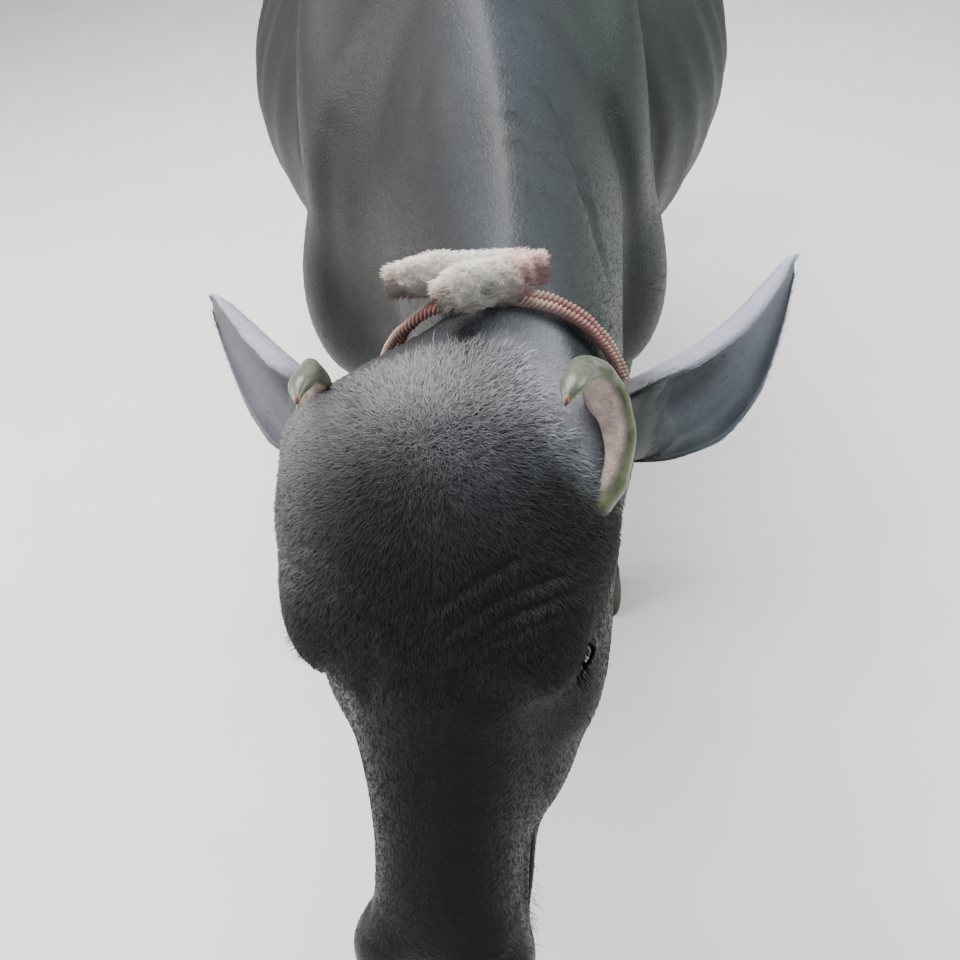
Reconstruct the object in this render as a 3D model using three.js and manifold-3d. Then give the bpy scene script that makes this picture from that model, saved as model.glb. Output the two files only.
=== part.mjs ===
// A standing river buffalo cow, life size, in millimetres: +Z up, the animal faces -Y, its left side is +X.
// The flesh is one smooth field of rounded forms. Each node is meshed from that field and parted by thin cuts.
import * as THREE from "three";
import { mergeVertices } from "three/addons/utils/BufferGeometryUtils.js";
import Module from "manifold-3d";

const wasm = await Module();
wasm.setup();

// Driving dimensions
const WITHERS = 1330; // height of the shoulder top above the floor
const BODY_LENGTH = 1480; // point of the shoulder to the pin bone
const BARREL = 872; // greatest width of the belly
const CHEST_FLOOR = 0.45 * WITHERS;
const SHOULDER_Y = -300; // where the point of the shoulder stands
const PIN_Y = SHOULDER_Y + BODY_LENGTH;
const GAP = 0.4; // between nodes that touch
const FORE_X = 165; // half the distance between the fore feet
const HIND_X = 158;
const FORE_Y = SHOULDER_Y + 125; // the line of the straight foreleg
const HOCK_Y = PIN_Y - 90;

// The head's own frame: x to its left, f from the poll to the muzzle, u up out of the forehead
const HEAD_LENGTH = 520;
const BROW_HALF = 144;
const POLL = new THREE.Vector3(-3, -872, 1155);
const NOSE_DOWN = 48;
const HEAD_TURN = -4.2; // below 0 is towards the animal's right
const HEAD_TILT = -10.5; // below 0 lifts its left side
const EYE = { x: 103, f: 212, u: -45, radius: 21 };
const LIDS = { thickness: 5, halfLength: 20, halfHeight: 10 };
const NOSTRIL = { x: 42, f: 506, u: -46, halves: [11, 25, 15] };

const rad = THREE.MathUtils.degToRad;
const headFrame = new THREE.Matrix4()
  .makeRotationFromEuler(new THREE.Euler(rad(NOSE_DOWN), rad(HEAD_TILT), rad(HEAD_TURN), "ZXY"))
  .setPosition(POLL);
const headInverse = headFrame.clone().invert();

// Smooth union of two distances, over a width k
function blend(a, b, k) {
  const h = Math.max(k - Math.abs(a - b), 0) / k;
  return Math.min(a, b) - (h * h * k) / 4;
}

// A value that runs smoothly through the rows of a table, along its key s
function along(rows, s, key) {
  const last = rows.length - 1;
  if (s <= rows[0].s) return rows[0][key];
  if (s >= rows[last].s) return rows[last][key];
  let i = 0;
  while (s > rows[i + 1].s) i++;
  const slope = (j) => {
    const [a, b] = [rows[Math.max(j - 1, 0)], rows[Math.min(j + 1, last)]];
    return (b[key] - a[key]) / (b.s - a.s);
  };
  const width = rows[i + 1].s - rows[i].s;
  const t = (s - rows[i].s) / width;
  const rise = rows[i + 1][key] - rows[i][key];
  const [m0, m1] = [slope(i) * width, slope(i + 1) * width];
  return rows[i][key] + t * (m0 + t * (3 * rise - 2 * m0 - m1 + t * (m0 + m1 - 2 * rise)));
}

// A long form whose top line, low line and half width are tables along s, with round ends.
// p holds x across, s along and z up.
function trunk(rows, endStart, endStop) {
  const first = rows[0].s;
  const last = rows[rows.length - 1].s;
  return (x, s, z) => {
    const mid = along(rows, s, "mid");
    const half = along(rows, s, "half");
    const above = z > mid;
    const reach = above ? along(rows, s, "top") - mid : mid - along(rows, s, "low");
    const n = along(rows, s, above ? "roof" : "keel");
    const dx = Math.abs(x - along(rows, s, "x")) / half;
    const dz = Math.abs(z - mid) / reach;
    const across = (dx ** n + dz ** n) ** (1 / n);
    let end = 0;
    let round = 0;
    if (s < first + endStart) [end, round] = [(first + endStart - s) / endStart, endStart];
    if (s > last - endStop) [end, round] = [(s - last + endStop) / endStop, endStop];
    const q = Math.hypot(across, end);
    const radius = Math.hypot(x - along(rows, s, "x"), z - mid, end * round);
    return q > 0.05 ? radius * (1 - 1 / q) : -Math.min(half, reach);
  };
}

// A ball drawn out along three axes, turned about the x axis by an angle
function egg(cx, cy, cz, rx, ry, rz, turn = 0) {
  const [c, s] = [Math.cos(rad(turn)), Math.sin(rad(turn))];
  return (x, y, z) => {
    const [dy, dz] = [y - cy, z - cz];
    const [px, py, pz] = [(x - cx) / rx, (c * dy + s * dz) / ry, (c * dz - s * dy) / rz];
    const k0 = Math.hypot(px, py, pz);
    const k1 = Math.hypot(px / rx, py / ry, pz / rz);
    return k1 > 0 ? (k0 * (k0 - 1)) / k1 : -Math.min(rx, ry, rz);
  };
}

// A tapered limb with round ends, from a to b
function limb(a, ra, b, rb) {
  const axis = [b[0] - a[0], b[1] - a[1], b[2] - a[2]];
  const size = Math.hypot(...axis);
  return (x, y, z) => {
    const d = [x - a[0], y - a[1], z - a[2]];
    const dot = d[0] * axis[0] + d[1] * axis[1] + d[2] * axis[2];
    const t = THREE.MathUtils.clamp(dot / (size * size), 0, 1);
    return Math.hypot(d[0] - t * axis[0], d[1] - t * axis[1], d[2] - t * axis[2]) - ra - t * (rb - ra);
  };
}

// Torso: tables along the distance behind the point of the shoulder
const HALF_BARREL = BARREL / 2;
const torsoRows = [
  { s: -110, top: 1150, low: 720, mid: 930, half: 140, roof: 2, keel: 2 },
  { s: -20, top: 1235, low: 640, mid: 920, half: 196, roof: 2, keel: 2.1 },
  { s: 90, top: 1308, low: CHEST_FLOOR + 10, mid: 920, half: 222, roof: 1.7, keel: 2.2 },
  { s: 200, top: WITHERS, low: CHEST_FLOOR, mid: 915, half: 252, roof: 1.6, keel: 2.2 },
  { s: 400, top: WITHERS - 22, low: CHEST_FLOOR - 28, mid: 900, half: 368, roof: 1.7, keel: 2.1 },
  { s: 620, top: WITHERS - 45, low: CHEST_FLOOR - 62, mid: 885, half: 0.985 * HALF_BARREL, roof: 1.8, keel: 2 },
  { s: 830, top: WITHERS - 45, low: CHEST_FLOOR - 66, mid: 880, half: 0.99 * HALF_BARREL, roof: 1.8, keel: 2 },
  { s: 1010, top: WITHERS - 28, low: CHEST_FLOOR - 20, mid: 910, half: 372, roof: 1.9, keel: 2 },
  { s: 1150, top: WITHERS - 18, low: 660, mid: 980, half: 280, roof: 2, keel: 2 },
  { s: 1290, top: WITHERS - 60, low: 760, mid: 1020, half: 222, roof: 2, keel: 2 },
  { s: 1400, top: WITHERS - 130, low: 850, mid: 1030, half: 160, roof: 2.2, keel: 2 },
  { s: BODY_LENGTH + 10, top: WITHERS - 225, low: 930, mid: 1030, half: 105, roof: 2, keel: 2 },
].map((row) => ({ ...row, x: 0 }));
const torsoTrunk = trunk(torsoRows, 120, 150);

// Neck: tables along y, from the poll to the shoulder
const neckRows = [
  { s: POLL.y - 70, top: 1118, low: 908, mid: 1020, half: 96, x: 6, roof: 1.9 },
  { s: POLL.y + 20, top: 1148, low: 898, mid: 1018, half: 100, x: 36, roof: 1.9 },
  { s: POLL.y + 110, top: 1166, low: 862, mid: 1015, half: 100, x: 60, roof: 1.7 },
  { s: POLL.y + 270, top: 1202, low: 800, mid: 1000, half: 116, x: 58, roof: 1.6 },
  { s: POLL.y + 420, top: 1246, low: 735, mid: 985, half: 146, x: 40, roof: 1.6 },
  { s: POLL.y + 600, top: 1296, low: 684, mid: 970, half: 182, x: 14, roof: 1.6 },
  { s: POLL.y + 760, top: 1322, low: 680, mid: 970, half: 184, x: 0, roof: 1.7 },
].map((row) => ({ ...row, keel: 2 }));
const neckTrunk = trunk(neckRows, 90, 120);

// Muscles and bones that stand out of the trunk, on one side; x is mirrored
const sideForms = [
  [egg(150, SHOULDER_Y + 120, 1040, 80, 120, 250, -24), 70], // shoulder blade
  [egg(196, SHOULDER_Y + 40, 785, 66, 80, 120), 80], // point of the shoulder
  [egg(192, SHOULDER_Y + 160, 810, 64, 125, 120, 20), 70], // triceps
  [egg(198, PIN_Y - 345, WITHERS - 132, 44, 70, 36), 120], // hook bone
  [egg(80, PIN_Y - 26, 1090, 50, 52, 54), 80], // pin bone
  [egg(150, PIN_Y - 215, 985, 115, 200, 220, 10), 80], // haunch
  [egg(158, PIN_Y - 215, 830, 92, 165, 170, 20), 70], // thigh
  [egg(180, PIN_Y - 370, 790, 68, 82, 120, -25), 70], // stifle
];

// A foreleg: forearm, knee, cannon, fetlock and pastern
const foreForms = [
  [limb([175, FORE_Y + 10, 760], 84, [FORE_X, FORE_Y + 2, 450], 48), 60],
  [egg(FORE_X, FORE_Y - 4, 415, 45, 49, 62), 30],
  [limb([FORE_X, FORE_Y, 370], 34, [FORE_X, FORE_Y + 4, 190], 32), 24],
  [limb([FORE_X, FORE_Y + 26, 370], 17, [FORE_X, FORE_Y + 34, 175], 17), 22],
  [egg(FORE_X, FORE_Y + 6, 152, 42, 47, 42), 20],
  [limb([FORE_X, FORE_Y, 138], 36, [FORE_X, FORE_Y - 22, 82], 41), 20],
];

// A hind leg: gaskin, hock with its point, cannon, fetlock and pastern
const hindForms = [
  [limb([172, PIN_Y - 250, 800], 92, [HIND_X - 6, HOCK_Y - 20, 560], 50), 60],
  [egg(HIND_X - 8, HOCK_Y, 500, 42, 56, 66, -12), 30],
  [limb([HIND_X - 8, HOCK_Y + 4, 640], 22, [HIND_X - 8, HOCK_Y + 44, 555], 26), 30],
  [limb([HIND_X - 6, HOCK_Y - 2, 460], 39, [HIND_X, HOCK_Y - 18, 200], 34), 26],
  [limb([HIND_X - 6, HOCK_Y + 32, 470], 19, [HIND_X, HOCK_Y + 16, 180], 18), 24],
  [egg(HIND_X, HOCK_Y - 18, 160, 43, 49, 44), 20],
  [limb([HIND_X, HOCK_Y - 28, 142], 37, [HIND_X, HOCK_Y - 56, 82], 42), 20],
];
const brisket = egg(0, SHOULDER_Y + 25, 712, 105, 140, 118);

// Head: tables along f
const skullRows = [
  { s: -28, top: -16, low: -120, mid: -66, half: 98, roof: 2.1, keel: 2 },
  { s: 50, top: 24, low: -150, mid: -52, half: BROW_HALF - 12, roof: 2.2, keel: 2 },
  { s: 125, top: 36, low: -185, mid: -50, half: BROW_HALF, roof: 2.2, keel: 1.9 },
  { s: 200, top: 26, low: -188, mid: -58, half: BROW_HALF - 20, roof: 2.2, keel: 1.9 },
  { s: 245, top: 14, low: -184, mid: -66, half: 103, roof: 2.1, keel: 2 },
  { s: 285, top: 5, low: -176, mid: -70, half: 87, roof: 2.1, keel: 2 },
  { s: 330, top: -2, low: -164, mid: -72, half: 76, roof: 2.2, keel: 2.1 },
  { s: 390, top: -7, low: -148, mid: -72, half: 67, roof: 2.2, keel: 2.2 },
  { s: 440, top: -10, low: -140, mid: -70, half: 66, roof: 2.3, keel: 2.2 },
  { s: HEAD_LENGTH - 6, top: -20, low: -128, mid: -70, half: 74, roof: 2.5, keel: 2.3 },
].map((row) => ({ ...row, x: 0 }));
const skull = trunk(skullRows, 70, 46);
const headForms = [
  [egg(76, -178, -122, 48, 108, 78), 44], // cheek muscle
  [egg(64, -276, -112, 42, 96, 50), 40], // cheek ahead of it
  [limb([66, -112, -170], 34, [58, -215, -176], 28), 40], // angle of the jaw
  [limb([58, -215, -172], 28, [30, -430, -122], 26), 36], // jaw bone
  [egg(98, -196, -16, 27, 48, 20, 12), 30], // brow
  [egg(98, -234, -88, 24, 54, 22), 36], // cheek bone below the eye
  [egg(50, -488, -50, 31, 34, 28), 26], // nostril wing
  [egg(30, -500, -86, 40, 24, 24), 22], // upper lip
  [egg(20, -478, -120, 40, 32, 20), 16], // chin
  [egg(118, -58, -72, 32, 42, 32), 36], // root of the ear and the horn
];
function headDistance(x, y, z) {
  let d = skull(x, -y, z);
  const side = Math.abs(x);
  for (const [form, k] of headForms) d = blend(d, form(side, y, z), k);
  return d;
}

const probe = new THREE.Vector3();
function headField(x, y, z) {
  probe.set(x, y, z).applyMatrix4(headInverse);
  return headDistance(probe.x, probe.y, probe.z);
}

// The distance to the whole skin: less than 0 inside
function flesh(x, y, z) {
  const side = Math.abs(x);
  let d = torsoTrunk(x, y - SHOULDER_Y, z);
  for (const [form, k] of sideForms) d = blend(d, form(side, y, z), k);
  d = blend(d, brisket(x, y, z), 110);
  for (const [form, k] of y < 400 ? foreForms : hindForms) d = blend(d, form(side, y, z), k);
  if (y < SHOULDER_Y + 300) d = blend(d, neckTrunk(x, y, z), 70);
  if (y < POLL.y + 160) d = blend(d, headField(x, y, z), 46);
  return d;
}

const UDDER = { y: PIN_Y - 330, z: 610, rx: 122, ry: 150, rz: 105 };
function udderField(x, y, z) {
  const side = Math.abs(x);
  const bag = egg(0, UDDER.y, UDDER.z, UDDER.rx, UDDER.ry, UDDER.rz)(x, y, z);
  const quarter = [-62, 68].map((dy) => egg(52, UDDER.y + dy, UDDER.z - 48, 56, 62, 56)(side, y, z));
  return quarter.reduce((d, q) => blend(d, q, 26), bag);
}

// A closed mesh of the surface where a field is 0, on a grid of cells, with its points moved onto that surface
function meshOf(field, low, high, cell) {
  const count = [0, 1, 2].map((i) => Math.ceil((high[i] - low[i]) / cell[i]) + 1);
  const [nx, ny, nz] = count;
  const at = (i, j, k) => (k * ny + j) * nx + i;
  const values = new Float64Array(nx * ny * nz);
  for (let k = 0; k < nz; k++)
    for (let j = 0; j < ny; j++)
      for (let i = 0; i < nx; i++) {
        const edge = !i || !j || !k || i === nx - 1 || j === ny - 1 || k === nz - 1;
        const d = field(low[0] + i * cell[0], low[1] + j * cell[1], low[2] + k * cell[2]);
        values[at(i, j, k)] = edge ? Math.max(d, 0.4 * cell[0]) : d;
      }
  const corners = [0, 1, 2, 3, 4, 5, 6, 7].map((c) => [c & 1, (c >> 1) & 1, c >> 2]);
  const pairs = corners.flatMap((a, i) =>
    corners.slice(i + 1).flatMap((b, j) => {
      const apart = Math.abs(a[0] - b[0]) + Math.abs(a[1] - b[1]) + Math.abs(a[2] - b[2]);
      return apart === 1 ? [[i, i + 1 + j]] : [];
    }),
  );
  const points = [];
  const index = new Int32Array(values.length).fill(-1);
  for (let k = 0; k < nz - 1; k++)
    for (let j = 0; j < ny - 1; j++)
      for (let i = 0; i < nx - 1; i++) {
        const v = corners.map(([a, b, c]) => values[at(i + a, j + b, k + c)]);
        const sum = [0, 0, 0];
        let hits = 0;
        for (const [a, b] of pairs) {
          if (v[a] < 0 === v[b] < 0) continue;
          const t = v[a] / (v[a] - v[b]);
          for (let n = 0; n < 3; n++) sum[n] += corners[a][n] + t * (corners[b][n] - corners[a][n]);
          hits++;
        }
        if (!hits) continue;
        index[at(i, j, k)] = points.length / 3;
        points.push(...[i, j, k].map((g, n) => low[n] + (g + sum[n] / hits) * cell[n]));
      }
  const faces = [];
  const quad = (a, b, c, d, flip) => faces.push(...(flip ? [a, c, b, a, d, c] : [a, b, c, a, c, d]));
  for (let k = 0; k < nz - 1; k++)
    for (let j = 0; j < ny - 1; j++)
      for (let i = 0; i < nx - 1; i++) {
        const here = values[at(i, j, k)] < 0;
        const cells = (di, dj, dk) => index[at(i - di, j - dj, k - dk)];
        if (j && k && here !== values[at(i + 1, j, k)] < 0)
          quad(cells(0, 0, 0), cells(0, 1, 0), cells(0, 1, 1), cells(0, 0, 1), !here);
        if (i && k && here !== values[at(i, j + 1, k)] < 0)
          quad(cells(0, 0, 0), cells(0, 0, 1), cells(1, 0, 1), cells(1, 0, 0), !here);
        if (i && j && here !== values[at(i, j, k + 1)] < 0)
          quad(cells(0, 0, 0), cells(1, 0, 0), cells(1, 1, 0), cells(0, 1, 0), !here);
      }
  settle(points, field, low, high, cell);
  return new THREE.BufferGeometry()
    .setAttribute("position", new THREE.Float32BufferAttribute(points, 3))
    .setIndex(faces);
}

// Moves each point along the field's slope onto its surface, apart from those on the grid's own walls
function settle(points, field, low, high, cell) {
  const h = 1;
  for (let i = 0; i < points.length; i += 3) {
    const p = points.slice(i, i + 3);
    if (p.some((v, n) => v < low[n] + cell[n] || v > high[n] - 1.5 * cell[n])) continue;
    for (let step = 0; step < 3; step++) {
      const d = field(...p);
      const slope = [0, 1, 2].map((n) => {
        const q = [...p];
        q[n] += h;
        return (field(...q) - d) / h;
      });
      const steep = slope.reduce((s, g) => s + g * g, 1e-9);
      const move = THREE.MathUtils.clamp(d / steep, -0.35 * cell[0], 0.35 * cell[0]);
      for (let n = 0; n < 3; n++) p[n] -= move * slope[n];
    }
    for (let n = 0; n < 3; n++) points[i + n] = p[n];
  }
}

// A closed tube along a curve: radii(t) gives the half width and half height of its section
function sweep(points, radii, steps, sides, up = new THREE.Vector3(0, 0, 1)) {
  const curve = new THREE.CatmullRomCurve3(points.map((p) => (p.isVector3 ? p : new THREE.Vector3(...p))));
  const ring = [];
  const centres = [];
  for (let i = 0; i <= steps; i++) {
    const t = i / steps;
    const centre = curve.getPoint(t);
    const ahead = curve.getTangent(t);
    const across = new THREE.Vector3().crossVectors(ahead, up).normalize();
    const rise = new THREE.Vector3().crossVectors(across, ahead);
    const [a, b] = radii(t);
    centres.push(centre);
    for (let j = 0; j < sides; j++) {
      const angle = (2 * Math.PI * j) / sides;
      const out = across.clone().multiplyScalar(a * Math.cos(angle));
      ring.push(centre.clone().add(out).addScaledVector(rise, b * Math.sin(angle)));
    }
  }
  return skinOf(ring, sides, centres[0], centres[steps]);
}

// Joins rings of points, in order, and closes both ends on a point
function skinOf(ring, sides, start, stop) {
  const rows = ring.length / sides;
  const points = [...ring, start, stop];
  const faces = [];
  for (let i = 0; i < rows - 1; i++)
    for (let j = 0; j < sides; j++) {
      const [a, b] = [i * sides + j, i * sides + ((j + 1) % sides)];
      faces.push(a, b, b + sides, a, b + sides, a + sides);
    }
  for (let j = 0; j < sides; j++) {
    const next = (j + 1) % sides;
    const top = (rows - 1) * sides;
    faces.push(ring.length, next, j, ring.length + 1, top + j, top + next);
  }
  return new THREE.BufferGeometry()
    .setAttribute("position", new THREE.Float32BufferAttribute(points.flatMap((p) => p.toArray()), 3))
    .setIndex(faces);
}

// Between a three.js geometry and a solid that can be cut and joined
function solid(geometry) {
  const bare = new THREE.BufferGeometry().setAttribute("position", geometry.getAttribute("position"));
  if (geometry.index) bare.setIndex(geometry.index);
  const merged = mergeVertices(bare, 1e-3);
  const made = new wasm.Manifold(
    new wasm.Mesh({
      numProp: 3,
      vertProperties: new Float32Array(merged.attributes.position.array),
      triVerts: new Uint32Array(merged.index.array),
    }),
  );
  if (made.volume() >= 0) return made;
  const turned = merged.index.array;
  for (let i = 0; i < turned.length; i += 3) [turned[i], turned[i + 1]] = [turned[i + 1], turned[i]];
  return solid(merged);
}

function geometryOf(made) {
  const mesh = made.getMesh();
  const points = new Float32Array(mesh.numVert * 3);
  for (let i = 0; i < mesh.numVert; i++)
    points.set(mesh.vertProperties.subarray(i * mesh.numProp, i * mesh.numProp + 3), i * 3);
  return new THREE.BufferGeometry()
    .setAttribute("position", new THREE.BufferAttribute(points, 3))
    .setIndex(new THREE.BufferAttribute(mesh.triVerts, 1));
}

// The same solid with every face moved out by a gap
function grown(made, gap = GAP) {
  const geometry = geometryOf(made);
  geometry.computeVertexNormals();
  const { position, normal } = geometry.attributes;
  for (let i = 0; i < position.count; i++)
    position.setXYZ(
      i,
      position.getX(i) + 1.4 * gap * normal.getX(i),
      position.getY(i) + 1.4 * gap * normal.getY(i),
      position.getZ(i) + 1.4 * gap * normal.getZ(i),
    );
  return solid(geometry);
}

// Cuts each other part away, with a gap around it
const clear = (made, others) =>
  others.reduce((left, other) => left.subtract(grown(other)).subtract(other), made);

// The same for a part with sharp folds: it is cut away from six places, a gap apart
const clearOfFolds = (made, others) =>
  others.reduce((left, other) => {
    const shifts = [0, 1, 2].flatMap((i) => [-GAP, GAP].map((d) => [0, 1, 2].map((n) => (n === i ? d : 0))));
    return shifts.reduce((rest, shift) => rest.subtract(other.translate(shift)), left.subtract(other));
  }, made);

const largest = (made) => made.decompose().reduce((a, b) => (b.volume() > a.volume() ? b : a));

function block(low, high) {
  const size = high.map((v, i) => v - low[i]);
  return new THREE.BoxGeometry(...size).translate(...low.map((v, i) => v + size[i] / 2));
}

const root = new THREE.Group();
const hide = new THREE.MeshStandardMaterial({ color: 0x2b2b2e, roughness: 0.6, metalness: 0 });
const teatSkin = new THREE.MeshStandardMaterial({ color: 0x4a3c3b, roughness: 0.6, metalness: 0 });
const hornMaterial = new THREE.MeshStandardMaterial({ color: 0x5b6155, roughness: 0.35, metalness: 0 });
const hoofMaterial = new THREE.MeshStandardMaterial({ color: 0x232120, roughness: 0.5, metalness: 0 });
const eyeMaterial = new THREE.MeshStandardMaterial({ color: 0x0b0a0c, roughness: 0.08, metalness: 0 });
const hairMaterial = new THREE.MeshStandardMaterial({ color: 0x151416, roughness: 0.7, metalness: 0 });
const ropeMaterial = new THREE.MeshStandardMaterial({ color: 0xc9aaa0, roughness: 0.9, metalness: 0 });
const woolMaterial = new THREE.MeshStandardMaterial({ color: 0xdcd5c9, roughness: 0.95, metalness: 0 });

// Rounds every corner to a fine grid, so that no two are left almost on one another
const FINE = 0.01;
function rounded(geometry) {
  const position = geometry.attributes.position;
  const values = position.array;
  for (let i = 0; i < values.length; i++) values[i] = Math.round(values[i] / FINE) * FINE;
  const merged = mergeVertices(geometry, FINE / 10);
  const { array } = merged.index;
  const faces = [];
  for (let i = 0; i < array.length; i += 3) {
    const [a, b, c] = array.slice(i, i + 3);
    if (a !== b && b !== c && c !== a) faces.push(a, b, c);
  }
  return merged.setIndex(faces);
}

function add(name, made, material) {
  const mesh = new THREE.Mesh(rounded(geometryOf(largest(made))), material);
  mesh.name = name;
  root.add(mesh);
  return mesh;
}

// Where the parts meet
const HEAD_JOIN = { point: [POLL.x, POLL.y + 34, 1000], direction: [0.08, 1, 0.08] };
const NECK_JOIN = { point: [0, SHOULDER_Y - 10, 1000], direction: [0, 1, -0.3] };
const HOOF_HEIGHT = 74;
const TORSO_FLOOR = 508;

// Keeps what lies on one side of a joining plane, short of half the gap: side is -1 ahead of it, 1 behind it
function keep(made, { point, direction }, side) {
  const away = new THREE.Vector3(...direction).normalize().multiplyScalar(side);
  const start = new THREE.Vector3(...point).addScaledVector(away, GAP / 2);
  return made.subtract(solid(beyond(start, away.clone().negate())));
}

// A big block that fills the half space beyond a point, in a direction
function beyond(point, direction) {
  const size = 4000;
  const turn = new THREE.Quaternion().setFromUnitVectors(new THREE.Vector3(0, 0, 1), direction);
  return new THREE.BoxGeometry(size, size, size)
    .translate(0, 0, size / 2)
    .applyQuaternion(turn)
    .translate(point.x, point.y, point.z);
}

// The upper end of a leg seen from the side is a tongue with a round top; it reaches in to a depth under the body
function legBlock(spec, side) {
  const { centre, halfWidth, top, inner } = spec;
  const outline = new THREE.Shape();
  outline.moveTo(centre - halfWidth, -30);
  outline.lineTo(centre + halfWidth, -30);
  outline.lineTo(centre + halfWidth, top);
  outline.absarc(centre, top, halfWidth, 0, Math.PI, false);
  const geometry = new THREE.ExtrudeGeometry(outline, { depth: 500, bevelEnabled: false, curveSegments: 10 });
  geometry.rotateY(Math.PI / 2).rotateX(Math.PI / 2).translate(inner, 0, 0);
  return solid(geometry.scale(side, 1, 1));
}

const legSpecs = [
  { name: "foreleg", centre: FORE_Y + 4, halfWidth: 124, top: 800, inner: 84, foot: FORE_Y - 34, footX: FORE_X },
  { name: "hind_leg", centre: PIN_Y - 195, halfWidth: 212, top: 880, inner: 36, foot: HOCK_Y - 68, footX: HIND_X },
];
const sides = [
  ["left", 1],
  ["right", -1],
];

// One of the two claws of a hoof: rings from the sole up to the coronet, each round at the toe and the heel
function claw(x, y, outward) {
  const sides = 14;
  const levels = [
    { z: 0, toe: 66, heel: 44, half: 26 },
    { z: 22, toe: 62, heel: 48, half: 26 },
    { z: HOOF_HEIGHT, toe: 26, heel: 44, half: 21 },
  ];
  const ring = levels.flatMap(({ z, toe, heel, half }) =>
    Array.from({ length: sides }, (_, i) => {
      const angle = (2 * Math.PI * i) / sides;
      const [c, s] = [Math.cos(angle), Math.sin(angle)];
      const reach = s < 0 ? toe : heel;
      const flat = c * outward < 0 ? 0.86 : 1;
      return new THREE.Vector3(x + outward * 3 + flat * half * Math.sign(c) * Math.abs(c) ** 0.8, y + reach * s, z);
    }),
  );
  return solid(skinOf(ring, sides, new THREE.Vector3(x, y, 0), new THREE.Vector3(x, y, HOOF_HEIGHT)));
}

// Udder with four teats, hung between the thighs
let udder = solid(meshOf(udderField, [-190, UDDER.y - 220, 440], [190, UDDER.y + 220, 780], [54, 62, 50]));
for (const x of [-54, 54])
  for (const dy of [-58, 66]) {
    const teat = [[x, UDDER.y + dy, 560], [x * 1.04, UDDER.y + dy, 500], [x * 1.1, UDDER.y + dy - 3, 462]];
    udder = udder.add(solid(sweep(teat, (t) => [15 - 4 * t, 15 - 4 * t], 4, 8, new THREE.Vector3(0, 1, 0))));
  }
add("udder", udder, teatSkin);

// Torso and legs
const TORSO_CELL = [62, 84, 60];
const LEG_CELL = [32, 35, 56];
const body = solid(meshOf(flesh, [-480, POLL.y - 90, 480], [480, PIN_Y + 100, 1400], TORSO_CELL));
let torso = keep(body, NECK_JOIN, 1);
const legs = [];
for (const spec of legSpecs)
  for (const [label, side] of sides) {
    const spread = spec.halfWidth + 40;
    const low = [side > 0 ? 0 : -420, spec.centre - spread, 30];
    const high = [side > 0 ? 420 : 0, spec.centre + spread, spec.top + spec.halfWidth + 40];
    const cut = legBlock(spec, side);
    let leg = solid(meshOf(flesh, low, high, LEG_CELL)).intersect(cut);
    leg = leg.subtract(solid(block([-600, -1500, -100], [600, 1500, HOOF_HEIGHT + GAP])));
    for (const inside of [-1, 1]) {
      const x = side * spec.footX + inside * 21;
      const dew = new THREE.SphereGeometry(13, 8, 6).scale(1, 1, 1.5).translate(x, spec.foot + 76, 122);
      leg = leg.add(solid(dew));
      const hoof = claw(side * spec.footX + inside * 29, spec.foot, inside);
      add(`${spec.name}_${label}_claw_${inside * side < 0 ? "inner" : "outer"}`, hoof, hoofMaterial);
    }
    leg = largest(clear(leg, [udder]));
    torso = clear(torso, [cut]);
    legs.push(leg);
    add(`${spec.name}_${label}`, leg, hide);
  }
torso = largest(clear(torso, [udder]).subtract(solid(block([-600, -1500, -100], [600, 1500, TORSO_FLOOR]))));
add("torso", torso, hide);

// Tail, from the tail head down to the hocks
const tailPath = [
  [0, PIN_Y - 150, 1168],
  [0, PIN_Y - 60, 1182],
  [0, PIN_Y + 14, 1132],
  [0, PIN_Y + 40, 1010],
  [4, PIN_Y + 40, 810],
  [6, PIN_Y + 40, 590],
];
const tailRadii = (t) => [34 - 21 * t ** 0.8, 30 - 17 * t ** 0.8];
const tailWhole = solid(sweep(tailPath, tailRadii, 16, 12, new THREE.Vector3(0, 1, 0)));
const SWITCH_TOP = 660;
const tailEnd = { point: [0, PIN_Y, SWITCH_TOP], direction: [0, 0, -1] };
add("tail", clear(keep(tailWhole, tailEnd, -1), [torso]), hide);

// The tail's switch: flat tapered locks that leave its end and hang down
let seed = 7;
function random() {
  seed = (seed * 16807) % 2147483647;
  return seed / 2147483647;
}

function lock(start, bend, end, width, thick) {
  const facing = new THREE.Vector3(random() - 0.5, 0.4, 0);
  const up = new THREE.Vector3().subVectors(end, start).cross(facing).normalize();
  return solid(
    sweep([start, bend, end], (t) => [width * (0.35 + 1.3 * t) * (1.04 - t) + 0.6, thick * (1.04 - t) + 0.5], 3, 4, up),
  );
}

const tailTip = new THREE.Vector3(6, PIN_Y + 41, SWITCH_TOP);
let tuft = keep(tailWhole, tailEnd, 1);
const LOCKS = 10;
for (let i = 0; i < LOCKS; i++) {
  const angle = i * 2.4;
  const out = 5 + 5 * random();
  const across = new THREE.Vector3(Math.cos(angle), Math.sin(angle), 0);
  const from = tailTip.clone().addScaledVector(across, 4).setZ(SWITCH_TOP - 6 - 62 * (i / LOCKS));
  const drop = 210 + 90 * random();
  const bend = from.clone().addScaledVector(across, 2.6 * out).setZ(from.z - 0.45 * drop);
  const tip = from.clone().addScaledVector(across, 1.2 * out).setZ(from.z - drop);
  tuft = tuft.add(lock(from, bend, tip, 15, 7));
}
add("tail_switch", tuft.subtract(solid(block([-99, 0, SWITCH_TOP - GAP], [99, 2000, 2000]))), hairMaterial);

// Head: its mesh is laid in its own frame
function fleshOnHead(x, y, z) {
  probe.set(x, y, z).applyMatrix4(headFrame);
  return flesh(probe.x, probe.y, probe.z);
}

function worldOf(geometry) {
  return solid(geometry.applyMatrix4(headFrame));
}

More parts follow.
